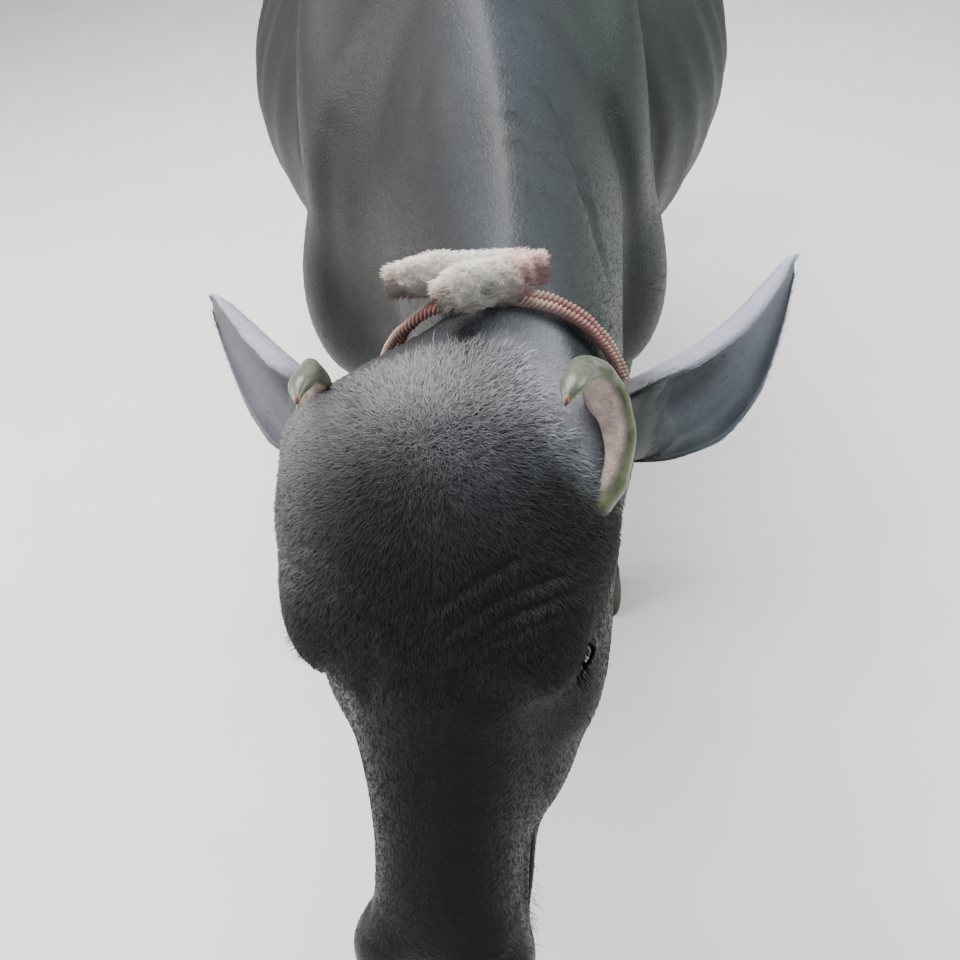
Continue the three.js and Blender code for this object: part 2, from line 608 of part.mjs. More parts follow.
const eyeAxis = new THREE.Vector3(1, -0.42, 0.3).normalize(); // where the left eye looks, in the head's frame
const eyeCentre = new THREE.Vector3(EYE.x, -EYE.f, EYE.u);
const mirrored = (geometry, side) => geometry.clone().scale(side, 1, 1);

// An almond laid across the eye's axis, long from corner to corner, as a prism that reaches out
function almond(halfLength, halfHeight) {
  const outline = new THREE.Shape();
  outline.moveTo(-halfLength, 0);
  outline.quadraticCurveTo(0, -1.5 * halfHeight, halfLength, 0);
  outline.quadraticCurveTo(0, 2 * halfHeight, -halfLength, 0);
  const geometry = new THREE.ExtrudeGeometry(outline, { depth: 70, bevelEnabled: false, curveSegments: 8 });
  const toMuzzle = new THREE.Vector3(-0.22, -1, -0.34).cross(eyeAxis).cross(eyeAxis).negate().normalize();
  const rise = new THREE.Vector3().crossVectors(eyeAxis, toMuzzle);
  return geometry.applyMatrix4(new THREE.Matrix4().makeBasis(toMuzzle, rise, eyeAxis).setPosition(eyeCentre));
}

// Ears: a leaf rolled into a cup, on a thick root; the section at each step is a crescent
const EAR_ROOT = new THREE.Vector3(126, -48, -74);
const EAR_HALF = 54;
const EAR_WIDEST = 0.48; // where along its length the leaf is widest
// Where each ear's tip is, what way its cup faces, and how far its middle sags and spreads from a straight line
const EARS = {
  left: { tip: new THREE.Vector3(266, 104, -250), faces: [0.15, -0.6, 0.62], sag: 27, spread: 28 },
  right: { tip: new THREE.Vector3(326, 80, -214), faces: [-0.1, -0.5, 0.75], sag: 28, spread: 4 },
};
function earHalf(t) {
  const out = t < EAR_WIDEST ? (EAR_WIDEST - t) / EAR_WIDEST : (t - EAR_WIDEST) / (1.02 - EAR_WIDEST);
  return t < EAR_WIDEST ? EAR_HALF * (1 - 0.42 * out ** 1.8) : EAR_HALF * (1 - out ** 2.3) ** 0.72 + 2;
}

function ear(side, { tip, faces, sag, spread }) {
  const steps = 9;
  const across = 6;
  const root = EAR_ROOT;
  const ahead = new THREE.Vector3().subVectors(tip, root);
  const length = ahead.length();
  ahead.normalize();
  const opens = new THREE.Vector3(...faces).cross(ahead).cross(ahead).negate().normalize();
  const wide = new THREE.Vector3().crossVectors(ahead, opens);
  const ring = [];
  for (let i = 0; i <= steps; i++) {
    const t = i / steps;
    const half = earHalf(t);
    const depth = half * (0.85 - 0.45 * t);
    const thick = 15 - 11 * t;
    const hollow = Math.min(1, 3.2 * t);
    const bow = Math.sin(Math.PI * t);
    const centre = root.clone().addScaledVector(ahead, t * length);
    centre.addScaledVector(wide, sag * bow).addScaledVector(opens, spread * bow);
    const place = (a, inner) => {
      const turn = (a * 1.1 * Math.PI) / 2;
      const floor = THREE.MathUtils.lerp(1, -(1 - thick / Math.max(depth, thick)), hollow);
      const lift = inner ? floor * depth * Math.cos(turn) : -depth * Math.cos(turn);
      return centre.clone().addScaledVector(wide, half * Math.sin(turn) * (inner ? 0.9 : 1)).addScaledVector(opens, lift);
    };
    for (let j = 0; j < across; j++) ring.push(place(-1 + (2 * j) / (across - 1), false));
    for (let j = across - 1; j >= 0; j--) ring.push(place(0.9 * (-1 + (2 * j) / (across - 1)), true));
  }
  const last = ring.slice(-2 * across).reduce((sum, p) => sum.add(p), new THREE.Vector3()).divideScalar(2 * across);
  return mirrored(skinOf(ring, 2 * across, root, last.addScaledVector(ahead, 5)), side);
}

// Horns: back from the root, then curled up and in, with the tip turned forward again
function horn(side, inward) {
  const path = [
    [96, -104, -24],
    [120, -96, -28],
    [134, -74, -40],
    [139, -38, -42],
    [134, -12, -26],
    [128, -4, 4],
    [126, -16, 33],
    [125, -28, 45],
  ].map(([x, y, z], i) => [x - inward * (0.35 + (0.65 * i) / 7), y, z]);
  const radii = (t) => [23 - 18 * t ** 1.4, 20 - 15.5 * t ** 1.3];
  return mirrored(sweep(path, radii, 15, 10, new THREE.Vector3(0, 0, 1)), side);
}

// The rope round the neck: two strands side by side, each a closed ring laid on the skin
const STRAND = 4.2;
const ROPE_SLACK = 2;
const collarTop = new THREE.Vector3(60, POLL.y + 74, 1020);
const collarDown = new THREE.Vector3(0, 0, -1);
const collarAcross = new THREE.Vector3(1, 0.25, 0).normalize(); // the ring lies askew, further back on the left
const collarAlong = new THREE.Vector3().crossVectors(collarAcross, collarDown).normalize();
const COLLAR_BEHIND = 62; // how far the ring is drawn back on the right, behind the head

// The point on a ray where the skin is a given distance away
function clearOf(start, direction, distance) {
  let [near, far] = [0, 400];
  for (let i = 0; i < 24; i++) {
    const middle = (near + far) / 2;
    const p = start.clone().addScaledVector(direction, middle);
    if (flesh(p.x, p.y, p.z) < distance) near = middle;
    else far = middle;
  }
  return start.clone().addScaledVector(direction, near);
}

// How far the faceted neck reaches out along a ray, at its highest across the width of a strand
const neck = keep(keep(body, HEAD_JOIN, 1), NECK_JOIN, -1);
const neckSkin = new THREE.Mesh(geometryOf(neck));
function reach(start, direction) {
  const far = 400;
  const widths = [-STRAND, 0, STRAND].map((shift) => {
    const origin = start.clone().addScaledVector(direction, far).addScaledVector(collarAlong, 1.5 * shift);
    const hits = new THREE.Raycaster(origin, direction.clone().negate()).intersectObject(neckSkin);
    return hits.length ? far - hits[0].distance : 0;
  });
  return Math.max(...widths);
}

function strand(back) {
  const turns = 30;
  const points = Array.from({ length: turns }, (_, i) => {
    const angle = (2 * Math.PI * i) / turns;
    const direction = collarAcross.clone().multiplyScalar(Math.sin(angle)).addScaledVector(collarDown, -Math.cos(angle));
    const start = collarTop.clone().addScaledVector(collarAlong, -back);
    start.y += COLLAR_BEHIND * Math.max(0, -Math.sin(angle));
    const onField = clearOf(start, direction, STRAND + ROPE_SLACK);
    const distance = Math.max(onField.distanceTo(start), reach(start, direction) + STRAND + ROPE_SLACK);
    return start.addScaledVector(direction, distance);
  });
  const curve = new THREE.CatmullRomCurve3(points, true);
  return solid(new THREE.TubeGeometry(curve, 40, STRAND, 6, true));
}

// A short thick roll of the knot, laid over the strands on top of the neck
function roll(from, to, radius, rise) {
  const [a, b] = [from, to].map(([x, y]) => new THREE.Vector3(x, y, 1000));
  const seat = clearOf(a.clone().lerp(b, 0.5), new THREE.Vector3(0, 0, 1), radius + rise);
  a.z = b.z = seat.z;
  const radii = (t) => {
    const end = Math.sqrt(Math.max(1 - (2 * t - 1) ** 6, 0.2));
    return [radius * end, radius * end];
  };
  return solid(sweep([a, a.clone().lerp(b, 0.5), b], radii, 8, 9));
}

const strands = [strand(-4.8), strand(4.8)];
add("collar_strand_front", strands[0], ropeMaterial);
add("collar_strand_back", strands[1], ropeMaterial);
const knotFront = largest(clear(roll([14, POLL.y + 52], [74, POLL.y + 80], 18, STRAND), [neck, ...strands]));
const knotBack = roll([-32, POLL.y + 96], [88, POLL.y + 108], 16, 0);
add("knot_front", knotFront, woolMaterial);
add("knot_back", clear(knotBack, [neck, knotFront, ...strands]), woolMaterial);

const horns = sides.map(([, side]) => worldOf(horn(side, side > 0 ? 4 : 44)));
const ears = sides.map(([label, side]) => worldOf(ear(side, EARS[label])));
sides.forEach(([label], i) => {
  add(`horn_${label}`, horns[i], hornMaterial);
  add(`ear_${label}`, clear(ears[i], [...horns, ...strands]), hide);
});

add("neck", clearOfFolds(clear(neck, [...legs, ...strands]), [...horns, ...ears]), hide);

let head = worldOf(meshOf(fleshOnHead, [-190, -570, -260], [190, 130, 90], [22, 28, 22]));
for (const [label, side] of sides) {
  const ball = new THREE.SphereGeometry(EYE.radius, 12, 8).translate(...eyeCentre.toArray());
  const lids = new THREE.SphereGeometry(EYE.radius + LIDS.thickness, 12, 8).translate(...eyeCentre.toArray());
  const room = new THREE.SphereGeometry(EYE.radius + GAP, 12, 8).translate(...eyeCentre.toArray());
  head = head.add(worldOf(mirrored(lids, side)));
  head = head.subtract(worldOf(mirrored(almond(LIDS.halfLength, LIDS.halfHeight), side)));
  head = head.subtract(worldOf(mirrored(room, side)));
  const nostril = new THREE.SphereGeometry(1, 12, 8).scale(...NOSTRIL.halves).rotateZ(-0.5);
  nostril.translate(NOSTRIL.x, -NOSTRIL.f, NOSTRIL.u);
  head = head.subtract(worldOf(mirrored(nostril, side)));
  add(`eye_${label}`, worldOf(mirrored(ball, side)), eyeMaterial);
}
head = keep(head, HEAD_JOIN, -1);

// The line of the mouth: a thin plate that leaves the middle of the muzzle whole
const mouth = new THREE.Shape();
mouth.moveTo(-110, -392);
mouth.lineTo(-110, -600);
mouth.lineTo(110, -600);
mouth.lineTo(110, -392);
const palate = new THREE.Path();
palate.moveTo(-70, -393);
palate.lineTo(-46, -440);
palate.quadraticCurveTo(-50, -496, 0, -500);
palate.quadraticCurveTo(50, -496, 46, -440);
palate.lineTo(70, -393);
palate.lineTo(-70, -393);
mouth.holes.push(palate);
const mouthCut = new THREE.ExtrudeGeometry(mouth, { depth: 5, bevelEnabled: false, curveSegments: 6 });
head = head.subtract(worldOf(mouthCut.rotateX(-0.05).translate(0, 0, -122)));

add("head", clearOfFolds(clear(head, horns), ears), hide);

// The origin lies at floor level under the middle of the outline
const outline = new THREE.Box3().setFromObject(root);
const middle = outline.getCenter(new THREE.Vector3());
for (const mesh of root.children) rounded(mesh.geometry.translate(-middle.x, -middle.y, 0));

export default root;
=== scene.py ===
"""A standing river buffalo cow in its black hide, with its rope collar, dressed over the CAD frame."""

import math
from concurrent.futures import ThreadPoolExecutor

import bpy
import numpy as np
from mathutils import Matrix, Vector


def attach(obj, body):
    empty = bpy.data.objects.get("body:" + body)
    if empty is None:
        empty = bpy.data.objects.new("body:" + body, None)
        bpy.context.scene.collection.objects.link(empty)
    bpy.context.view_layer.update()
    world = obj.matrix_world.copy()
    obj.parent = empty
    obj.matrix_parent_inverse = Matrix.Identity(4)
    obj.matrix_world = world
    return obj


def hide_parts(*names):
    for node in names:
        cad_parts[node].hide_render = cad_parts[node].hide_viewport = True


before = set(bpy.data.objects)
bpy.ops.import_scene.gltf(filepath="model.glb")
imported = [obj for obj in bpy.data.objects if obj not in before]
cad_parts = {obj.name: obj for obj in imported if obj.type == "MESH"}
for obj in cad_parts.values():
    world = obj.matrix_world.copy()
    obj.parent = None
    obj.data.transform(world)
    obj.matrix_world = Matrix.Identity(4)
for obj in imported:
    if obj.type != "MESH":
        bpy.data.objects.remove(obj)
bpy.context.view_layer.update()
rng = np.random.default_rng(11)
TURN = 2 * math.pi
SIDES = {1: "left", -1: "right"}

# Driving sizes of the animal, in millimetres, as in the CAD part
WITHERS = 1330
BODY_LENGTH = 1480
BARREL = 872
CHEST_FLOOR = 0.45 * WITHERS
SHOULDER_Y = -300
PIN_Y = SHOULDER_Y + BODY_LENGTH
FORE_X = 165
HIND_X = 158
FORE_Y = SHOULDER_Y + 125
HOCK_Y = PIN_Y - 90
HEAD_LENGTH = 520
BROW_HALF = 144
POLL = np.array([-3.0, -872.0, 1155.0])
NOSE_DOWN, HEAD_TURN, HEAD_TILT = 48, -4.2, -10.5
EYE = {"x": 103, "f": 212, "u": -45, "radius": 21}
COAT = 3.0  # depth of the short coat, which the solids include

HEAD_TURNED = np.array(
    Matrix.Rotation(math.radians(HEAD_TURN), 3, "Z")
    @ Matrix.Rotation(math.radians(NOSE_DOWN), 3, "X")
    @ Matrix.Rotation(math.radians(HEAD_TILT), 3, "Y")
)


def on_head(local):
    """Points of the head's frame (x to its left, y back, z up out of the forehead) in the body's."""
    return np.asarray(local, float) @ HEAD_TURNED.T + POLL


def in_head(points):
    return (np.asarray(points, float) - POLL) @ HEAD_TURNED


def mirrored(points):
    """Points with those of the right half laid over the left half."""
    return np.abs(points * [1, 0, 0]) + points * [0, 1, 1]


def cad_points(name, shift):
    """The corners of a CAD node, in millimetres, less a shift."""
    corners = np.array([v.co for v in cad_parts[name].data.vertices]) * 1000 - shift
    return np.unique(corners.round(2), axis=0)


def eye_shift():
    """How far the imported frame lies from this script's own, from where the left eye is."""
    return cad_points("eye_left", 0).mean(axis=0) - on_head([EYE["x"], -EYE["f"], EYE["u"]])


SHIFT = eye_shift() * [1, 1, 0]

# The flesh as one field of rounded forms


def blend(a, b, k):
    h = np.maximum(k - np.abs(a - b), 0) / k
    return np.minimum(a, b) - h * h * k / 4


class Table:
    """Values that run smoothly through rows, along the first column."""

    def __init__(self, rows):
        rows = np.array(rows, float)
        self.s, self.v = rows[:, 0], rows[:, 1:]
        ahead = np.vstack([self.v[1:], self.v[-1:]])
        behind = np.vstack([self.v[:1], self.v[:-1]])
        run = np.append(self.s[1:], self.s[-1]) - np.append(self.s[0], self.s[:-1])
        self.slope = (ahead - behind) / run[:, None]

    def at(self, s):
        s = np.clip(s, self.s[0], self.s[-1])
        i = np.clip(np.searchsorted(self.s, s, side="right") - 1, 0, len(self.s) - 2)
        width = (self.s[i + 1] - self.s[i])[:, None]
        t = (s - self.s[i])[:, None] / width
        rise = self.v[i + 1] - self.v[i]
        m0, m1 = self.slope[i] * width, self.slope[i + 1] * width
        return (self.v[i] + t * (m0 + t * (3 * rise - 2 * m0 - m1 + t * (m0 + m1 - 2 * rise)))).T


def trunk(rows, end_start, end_stop):
    """A long form: rows of s, top, low, mid, half, roof, keel, x. Points hold x across, s along and z up."""
    table = Table(rows)
    first, last = table.s[0], table.s[-1]

    def distance(x, s, z):
        top, low, mid, half, roof, keel, middle = table.at(s)
        above = z > mid
        reach = np.where(above, top - mid, mid - low)
        n = np.where(above, roof, keel)
        dx = np.abs(x - middle) / half
        dz = np.abs(z - mid) / reach
        across = (dx**n + dz**n) ** (1 / n)
        end = np.where(s < first + end_start, (first + end_start - s) / end_start, 0)
        end = np.where(s > last - end_stop, (s - last + end_stop) / end_stop, end)
        length = np.where(s < first + end_start, end_start, end_stop)
        q = np.hypot(across, end)
        radius = np.sqrt((x - middle) ** 2 + (z - mid) ** 2 + (end * length) ** 2)
        return np.where(q > 0.05, radius * (1 - 1 / np.maximum(q, 0.05)), -np.minimum(half, reach))

    return distance


class Egg:
    """A ball drawn out along three axes and turned about the x axis."""

    def __init__(self, x, y, z, rx, ry, rz, turn=0.0):
        self.centre = np.array([x, y, z], float)
        self.radii = np.array([rx, ry, rz], float)
        c, s = math.cos(math.radians(turn)), math.sin(math.radians(turn))
        self.turn = np.array([[1, 0, 0], [0, c, s], [0, -s, c]])
        self.reach = max(rx, ry, rz)

    def __call__(self, p):
        q = (p - self.centre) @ self.turn.T
        k0 = np.linalg.norm(q / self.radii, axis=1)
        k1 = np.linalg.norm(q / self.radii**2, axis=1)
        return k0 * (k0 - 1) / np.maximum(k1, 1e-9)


class Limb:
    """A tapered limb with round ends."""

    def __init__(self, a, ra, b, rb):
        self.a, self.b = np.array(a, float), np.array(b, float)
        self.ra, self.rb = ra, rb
        self.centre = (self.a + self.b) / 2
        self.reach = np.linalg.norm(self.b - self.a) / 2 + max(ra, rb)

    def __call__(self, p):
        axis = self.b - self.a
        t = np.clip((p - self.a) @ axis / (axis @ axis), 0, 1)
        return np.linalg.norm(p - self.a - t[:, None] * axis, axis=1) - self.ra - t * (self.rb - self.ra)


BLEND_MARGIN = 60  # how far past a form it is still blended in


def join(d, p, form, k):
    """Blends a form into the distances d, where it comes near."""
    close = np.abs(p - form.centre).max(axis=1) < form.reach + k + BLEND_MARGIN
    if close.any():
        d[close] = blend(d[close], form(p[close]), k)


HALF_BARREL = BARREL / 2
torso_trunk = trunk(
    [
        # s, top, low, mid, half, roof, keel, x
        (-110, 1150, 720, 930, 140, 2, 2, 0),
        (-20, 1235, 640, 920, 196, 2, 2.1, 0),
        (90, 1308, CHEST_FLOOR + 10, 920, 222, 1.7, 2.2, 0),
        (200, WITHERS, CHEST_FLOOR, 915, 252, 1.6, 2.2, 0),
        (400, WITHERS - 22, CHEST_FLOOR - 28, 900, 368, 1.7, 2.1, 0),
        (620, WITHERS - 45, CHEST_FLOOR - 62, 885, 0.985 * HALF_BARREL, 1.8, 2, 0),
        (830, WITHERS - 45, CHEST_FLOOR - 66, 880, 0.99 * HALF_BARREL, 1.8, 2, 0),
        (1010, WITHERS - 28, CHEST_FLOOR - 20, 910, 372, 1.9, 2, 0),
        (1150, WITHERS - 18, 660, 980, 280, 2, 2, 0),
        (1290, WITHERS - 60, 760, 1020, 222, 2, 2, 0),
        (1400, WITHERS - 130, 850, 1030, 160, 2.2, 2, 0),
        (BODY_LENGTH + 10, WITHERS - 225, 930, 1030, 105, 2, 2, 0),
    ],
    120,
    150,
)
neck_trunk = trunk(
    [
        (POLL[1] - 70, 1118, 908, 1020, 96, 1.9, 2, 6),
        (POLL[1] + 20, 1148, 898, 1018, 100, 1.9, 2, 36),
        (POLL[1] + 110, 1166, 862, 1015, 100, 1.7, 2, 60),
        (POLL[1] + 270, 1202, 800, 1000, 116, 1.6, 2, 58),
        (POLL[1] + 420, 1246, 735, 985, 146, 1.6, 2, 40),
        (POLL[1] + 600, 1296, 684, 970, 182, 1.6, 2, 14),
        (POLL[1] + 760, 1322, 680, 970, 184, 1.7, 2, 0),
    ],
    90,
    120,
)
side_forms = [
    (Egg(150, SHOULDER_Y + 120, 1040, 80, 120, 250, -24), 70),  # shoulder blade
    (Egg(196, SHOULDER_Y + 40, 785, 66, 80, 120), 80),  # point of the shoulder
    (Egg(192, SHOULDER_Y + 160, 810, 64, 125, 120, 20), 70),  # triceps
    (Egg(198, PIN_Y - 345, WITHERS - 132, 44, 70, 36), 120),  # hook bone
    (Egg(80, PIN_Y - 26, 1090, 50, 52, 54), 80),  # pin bone
    (Egg(150, PIN_Y - 215, 985, 115, 200, 220, 10), 80),  # haunch
    (Egg(158, PIN_Y - 215, 830, 92, 165, 170, 20), 70),  # thigh
    (Egg(180, PIN_Y - 370, 790, 68, 82, 120, -25), 70),  # stifle
    (Egg(0, SHOULDER_Y + 25, 712, 105, 140, 118), 110),  # brisket
]
fore_forms = [
    (Limb((175, FORE_Y + 10, 760), 84, (FORE_X, FORE_Y + 2, 450), 48), 60),
    (Egg(FORE_X, FORE_Y - 4, 415, 45, 49, 62), 30),
    (Limb((FORE_X, FORE_Y, 370), 34, (FORE_X, FORE_Y + 4, 190), 32), 24),
    (Limb((FORE_X, FORE_Y + 26, 370), 17, (FORE_X, FORE_Y + 34, 175), 17), 22),
    (Egg(FORE_X, FORE_Y + 6, 152, 42, 47, 42), 20),
    (Limb((FORE_X, FORE_Y, 138), 36, (FORE_X, FORE_Y - 22, 82), 41), 20),
]
hind_forms = [
    (Limb((172, PIN_Y - 250, 800), 92, (HIND_X - 6, HOCK_Y - 20, 560), 50), 60),
    (Egg(HIND_X - 8, HOCK_Y, 500, 42, 56, 66, -12), 30),
    (Limb((HIND_X - 8, HOCK_Y + 4, 640), 22, (HIND_X - 8, HOCK_Y + 44, 555), 26), 30),
    (Limb((HIND_X - 6, HOCK_Y - 2, 460), 39, (HIND_X, HOCK_Y - 18, 200), 34), 26),
    (Limb((HIND_X - 6, HOCK_Y + 32, 470), 19, (HIND_X, HOCK_Y + 16, 180), 18), 24),
    (Egg(HIND_X, HOCK_Y - 18, 160, 43, 49, 44), 20),
    (Limb((HIND_X, HOCK_Y - 28, 142), 37, (HIND_X, HOCK_Y - 56, 82), 42), 20),
]
tail_bone = [
    (Limb((0, PIN_Y - 100, 1170), 34, (0, PIN_Y - 8, 1152), 31), 26),
    (Limb((0, PIN_Y - 8, 1150), 31, (0, PIN_Y + 36, 1010), 25), 20),
    (Limb((0, PIN_Y + 36, 1010), 25, (4, PIN_Y + 40, 810), 19), 16),
    (Limb((4, PIN_Y + 40, 810), 19, (6, PIN_Y + 41, 640), 14), 12),
]

# The head's forms, in its own frame
skull = trunk(
    [
        (-28, -16, -120, -66, 98, 2.1, 2, 0),
        (50, 24, -150, -52, BROW_HALF - 12, 2.2, 2, 0),
        (125, 36, -185, -50, BROW_HALF, 2.2, 1.9, 0),
        (200, 26, -188, -58, BROW_HALF - 20, 2.2, 1.9, 0),
        (245, 14, -184, -66, 103, 2.1, 2, 0),
        (285, 5, -176, -70, 87, 2.1, 2, 0),
        (330, -2, -164, -72, 76, 2.2, 2.1, 0),
        (390, -7, -148, -72, 67, 2.2, 2.2, 0),
        (440, -10, -140, -70, 66, 2.3, 2.2, 0),
        (HEAD_LENGTH - 6, -20, -128, -70, 74, 2.5, 2.3, 0),
    ],
    70,
    46,
)
head_forms = [
    (Egg(76, -178, -122, 48, 108, 78), 44),  # cheek muscle
    (Egg(64, -276, -112, 42, 96, 50), 40),  # cheek ahead of it
    (Limb((66, -112, -170), 34, (58, -215, -176), 28), 40),  # angle of the jaw
    (Limb((58, -215, -172), 28, (30, -430, -122), 26), 36),  # jaw bone
    (Egg(98, -196, -16, 27, 48, 20, 12), 30),  # brow
    (Egg(98, -234, -88, 24, 54, 22), 36),  # cheek bone below the eye
    (Egg(50, -488, -50, 31, 34, 28), 26),  # nostril wing
    (Egg(30, -500, -86, 40, 24, 24), 22),  # upper lip
    (Egg(20, -478, -120, 40, 32, 20), 16),  # chin
    (Egg(118, -58, -72, 32, 42, 32), 36),  # root of the ear and the horn
]


def head_distance(q):
    side = mirrored(q)
    d = skull(q[:, 0], -q[:, 1], q[:, 2])
    for form, k in head_forms:
        join(d, side, form, k)
    return d


UDDER_Y, UDDER_Z = PIN_Y - 330, 610
udder_forms = [
    (Egg(0, UDDER_Y, UDDER_Z, 122, 150, 105), 20),
    (Egg(52, UDDER_Y - 62, UDDER_Z - 48, 56, 62, 56), 26),
    (Egg(52, UDDER_Y + 68, UDDER_Z - 48, 56, 62, 56), 26),
    (Limb((54, UDDER_Y - 58, 560), 17, (59, UDDER_Y - 61, 474), 12), 12),
    (Limb((54, UDDER_Y + 66, 560), 17, (59, UDDER_Y + 63, 474), 12), 12),
]


def flesh(p):
    """Distance to the whole skin: less than 0 inside."""
    side = mirrored(p)
    d = torso_trunk(p[:, 0], p[:, 1] - SHOULDER_Y, p[:, 2])
    for form, k in side_forms + fore_forms + hind_forms + udder_forms:
        join(d, side, form, k)
    for form, k in tail_bone:
        join(d, p, form, k)
    front = p[:, 1] < SHOULDER_Y + 300
    d[front] = blend(d[front], neck_trunk(*p[front].T), 70)
    front = p[:, 1] < POLL[1] + 160
    if front.any():
        d[front] = blend(d[front], head_distance(in_head(p[front])), 46)
    return d


def in_parts(field, p, size=60000):
    """The field at many points, worked out on all cores."""
    parts = [p[i : i + size] for i in range(0, len(p), size)]
    with ThreadPoolExecutor(4) as pool:
        return np.concatenate(list(pool.map(field, parts)))


# A mesh of the surface where a field is 0, on a grid that is finer over the head


def ticks(low, high, stretches, coarse):
    """Grid lines. Each stretch is (from, to, step), and the steps slowly widen to either side of it."""

    def step_at(place):
        steps = [step + 0.11 * max(a - place, place - b, 0) for a, b, step in stretches]
        return min(min(steps), coarse)

    lines = [low]
    while lines[-1] < high:
        lines.append(lines[-1] + step_at(lines[-1]))
    return np.array(lines)


# The cells round a grid line along each axis, in order
AROUND_LINE = (
    ((0, 0, 0), (0, 1, 0), (0, 1, 1), (0, 0, 1)),
    ((0, 0, 0), (0, 0, 1), (1, 0, 1), (1, 0, 0)),
    ((0, 0, 0), (1, 0, 0), (1, 1, 0), (0, 1, 0)),
)
FAR = 1e3  # the distance given to grid points that were skipped


def grid_values(field, axes, block=8):
    """The field on a grid. Blocks of it that the surface can't reach are skipped."""
    shape = [len(a) for a in axes]
    values = np.full(shape, FAR, np.float32)
    starts = [np.arange(0, n, block) for n in shape]
    middles = [a[np.minimum(s + block // 2, len(a) - 1)] for a, s in zip(axes, starts)]
    spans = [a[np.minimum(s + block, len(a) - 1)] - a[s] for a, s in zip(axes, starts)]
    grid = np.stack(np.meshgrid(*middles, indexing="ij"), -1).reshape(-1, 3)
    reach = np.sqrt(sum(w**2 for w in np.meshgrid(*spans, indexing="ij"))).reshape(-1)
    rough = in_parts(field, grid)
    close = np.abs(rough) < 0.85 * reach + 6
    cells = np.indices([len(s) for s in starts]).reshape(3, -1).T * block
    for i, j, k in cells[~close & (rough < 0)]:
        values[i : i + block, j : j + block, k : k + block] = -FAR
    step = np.indices((block,) * 3).reshape(3, -1).T
    index = (cells[close][:, None, :] + step[None]).reshape(-1, 3)
    index = index[(index < shape).all(axis=1)]
    points = np.stack([axes[n][index[:, n]] for n in range(3)], -1)
    values[tuple(index.T)] = in_parts(field, points)
    for n in range(3):
        for end in (0, -1):
            wall = [slice(None)] * 3
            wall[n] = end
            values[tuple(wall)] = np.maximum(values[tuple(wall)], 1)
    return values


def net(field, axes):
    """Points and four-sided faces of the surface."""
    values = grid_values(field, axes)
    shape = values.shape
    inside = values < 0
    corners = [(c & 1, (c >> 1) & 1, c >> 2) for c in range(8)]
    count = np.zeros([n - 1 for n in shape], np.uint8)
    for c in corners:
        count += inside[tuple(slice(a, a + n - 1) for a, n in zip(c, shape))]
    active = np.stack(np.nonzero((count > 0) & (count < 8)), -1)
    ids = np.full(count.shape, -1, np.int32)
    ids[tuple(active.T)] = np.arange(len(active))
    value = [values[tuple((active + c).T)] for c in corners]
    total, hits = np.zeros((len(active), 3)), np.zeros(len(active))
    for a in range(8):
        for b in range(a + 1, 8):
            if sum(abs(m - n) for m, n in zip(corners[a], corners[b])) != 1:
                continue
            cross = (value[a] < 0) != (value[b] < 0)
            t = np.where(cross, value[a] / np.where(cross, value[a] - value[b], 1), 0)
            at = np.array(corners[a]) + t[:, None] * (np.array(corners[b]) - corners[a])
            total += at * cross[:, None]
            hits += cross
    spot = total / hits[:, None]
    columns = [axes[n][active[:, n]] + spot[:, n] * np.diff(axes[n])[active[:, n]] for n in range(3)]
    faces = []
    for n in range(3):
        here = [slice(1, m - 1) for m in shape]
        here[n] = slice(0, shape[n] - 1)
        there = list(here)
        there[n] = slice(1, shape[n])
        a, b = inside[tuple(here)], inside[tuple(there)]
        edge = np.stack(np.nonzero(a != b), -1)
        flip = ~a[tuple(edge.T)]
        edge = edge + [0 if m == n else 1 for m in range(3)]
        quad = np.stack([ids[tuple((edge - r).T)] for r in AROUND_LINE[n]], -1)
        quad[flip] = quad[flip][:, ::-1]
        faces.append(quad)
    return np.stack(columns, -1), np.concatenate(faces)


def slope_of(field, p, h=0.8):
    d = in_parts(field, p)
    return d, np.stack([(in_parts(field, p + h * np.eye(3)[n]) - d) / h for n in range(3)], -1)


def settle(field, p, most=3.0, rounds=2):
    """Moves points onto the surface, and gives its slope there."""
    for _ in range(rounds):
        d, slope = slope_of(field, p)
        steep = (slope**2).sum(axis=1) + 1e-9
        p = p - np.clip(d / steep, -most, most)[:, None] * slope
    return p, slope / np.linalg.norm(slope, axis=1)[:, None]


def piece(name, points, faces, material, smooth=True, marking=None, **values):
    """An object from arrays: points in millimetres, faces, and values held at each point."""
    mesh = bpy.data.meshes.new(name)
    faces = np.asarray(faces)
    mesh.vertices.add(len(points))
    spots = (np.asarray(points, float) + SHIFT) * 0.001
    mesh.vertices.foreach_set("co", spots.astype(np.float32).reshape(-1))
    sides = faces.shape[1]
    mesh.loops.add(faces.size)
    mesh.loops.foreach_set("vertex_index", faces.reshape(-1).astype(np.int32))
    mesh.polygons.add(len(faces))
    mesh.polygons.foreach_set("loop_start", np.arange(0, faces.size, sides, dtype=np.int32))
    mesh.update(calc_edges=True)
    if marking is not None:
        colours = np.ones((len(points), 4), np.float32)
        colours[:, :3] = marking
        held = mesh.attributes.new("marking", "FLOAT_COLOR", "POINT")
        held.data.foreach_set("color", colours.reshape(-1))
    for key, value in values.items():
        held = mesh.attributes.new(key, "FLOAT", "POINT")
        held.data.foreach_set("value", np.asarray(value, np.float32))
    if smooth:
        mesh.shade_smooth()
    mesh.materials.append(material)
    made = bpy.data.objects.new(name, mesh)
    bpy.context.collection.objects.link(made)
    return made


def place(made, slot, *nodes):
    """Joins a piece to the body and hides the CAD nodes that it stands for. The slot is not used."""
    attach(made, "root")
    if nodes:
        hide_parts(*nodes)
    return made


# Camera


PHOTO_SIZE, SENSOR = 960, 36


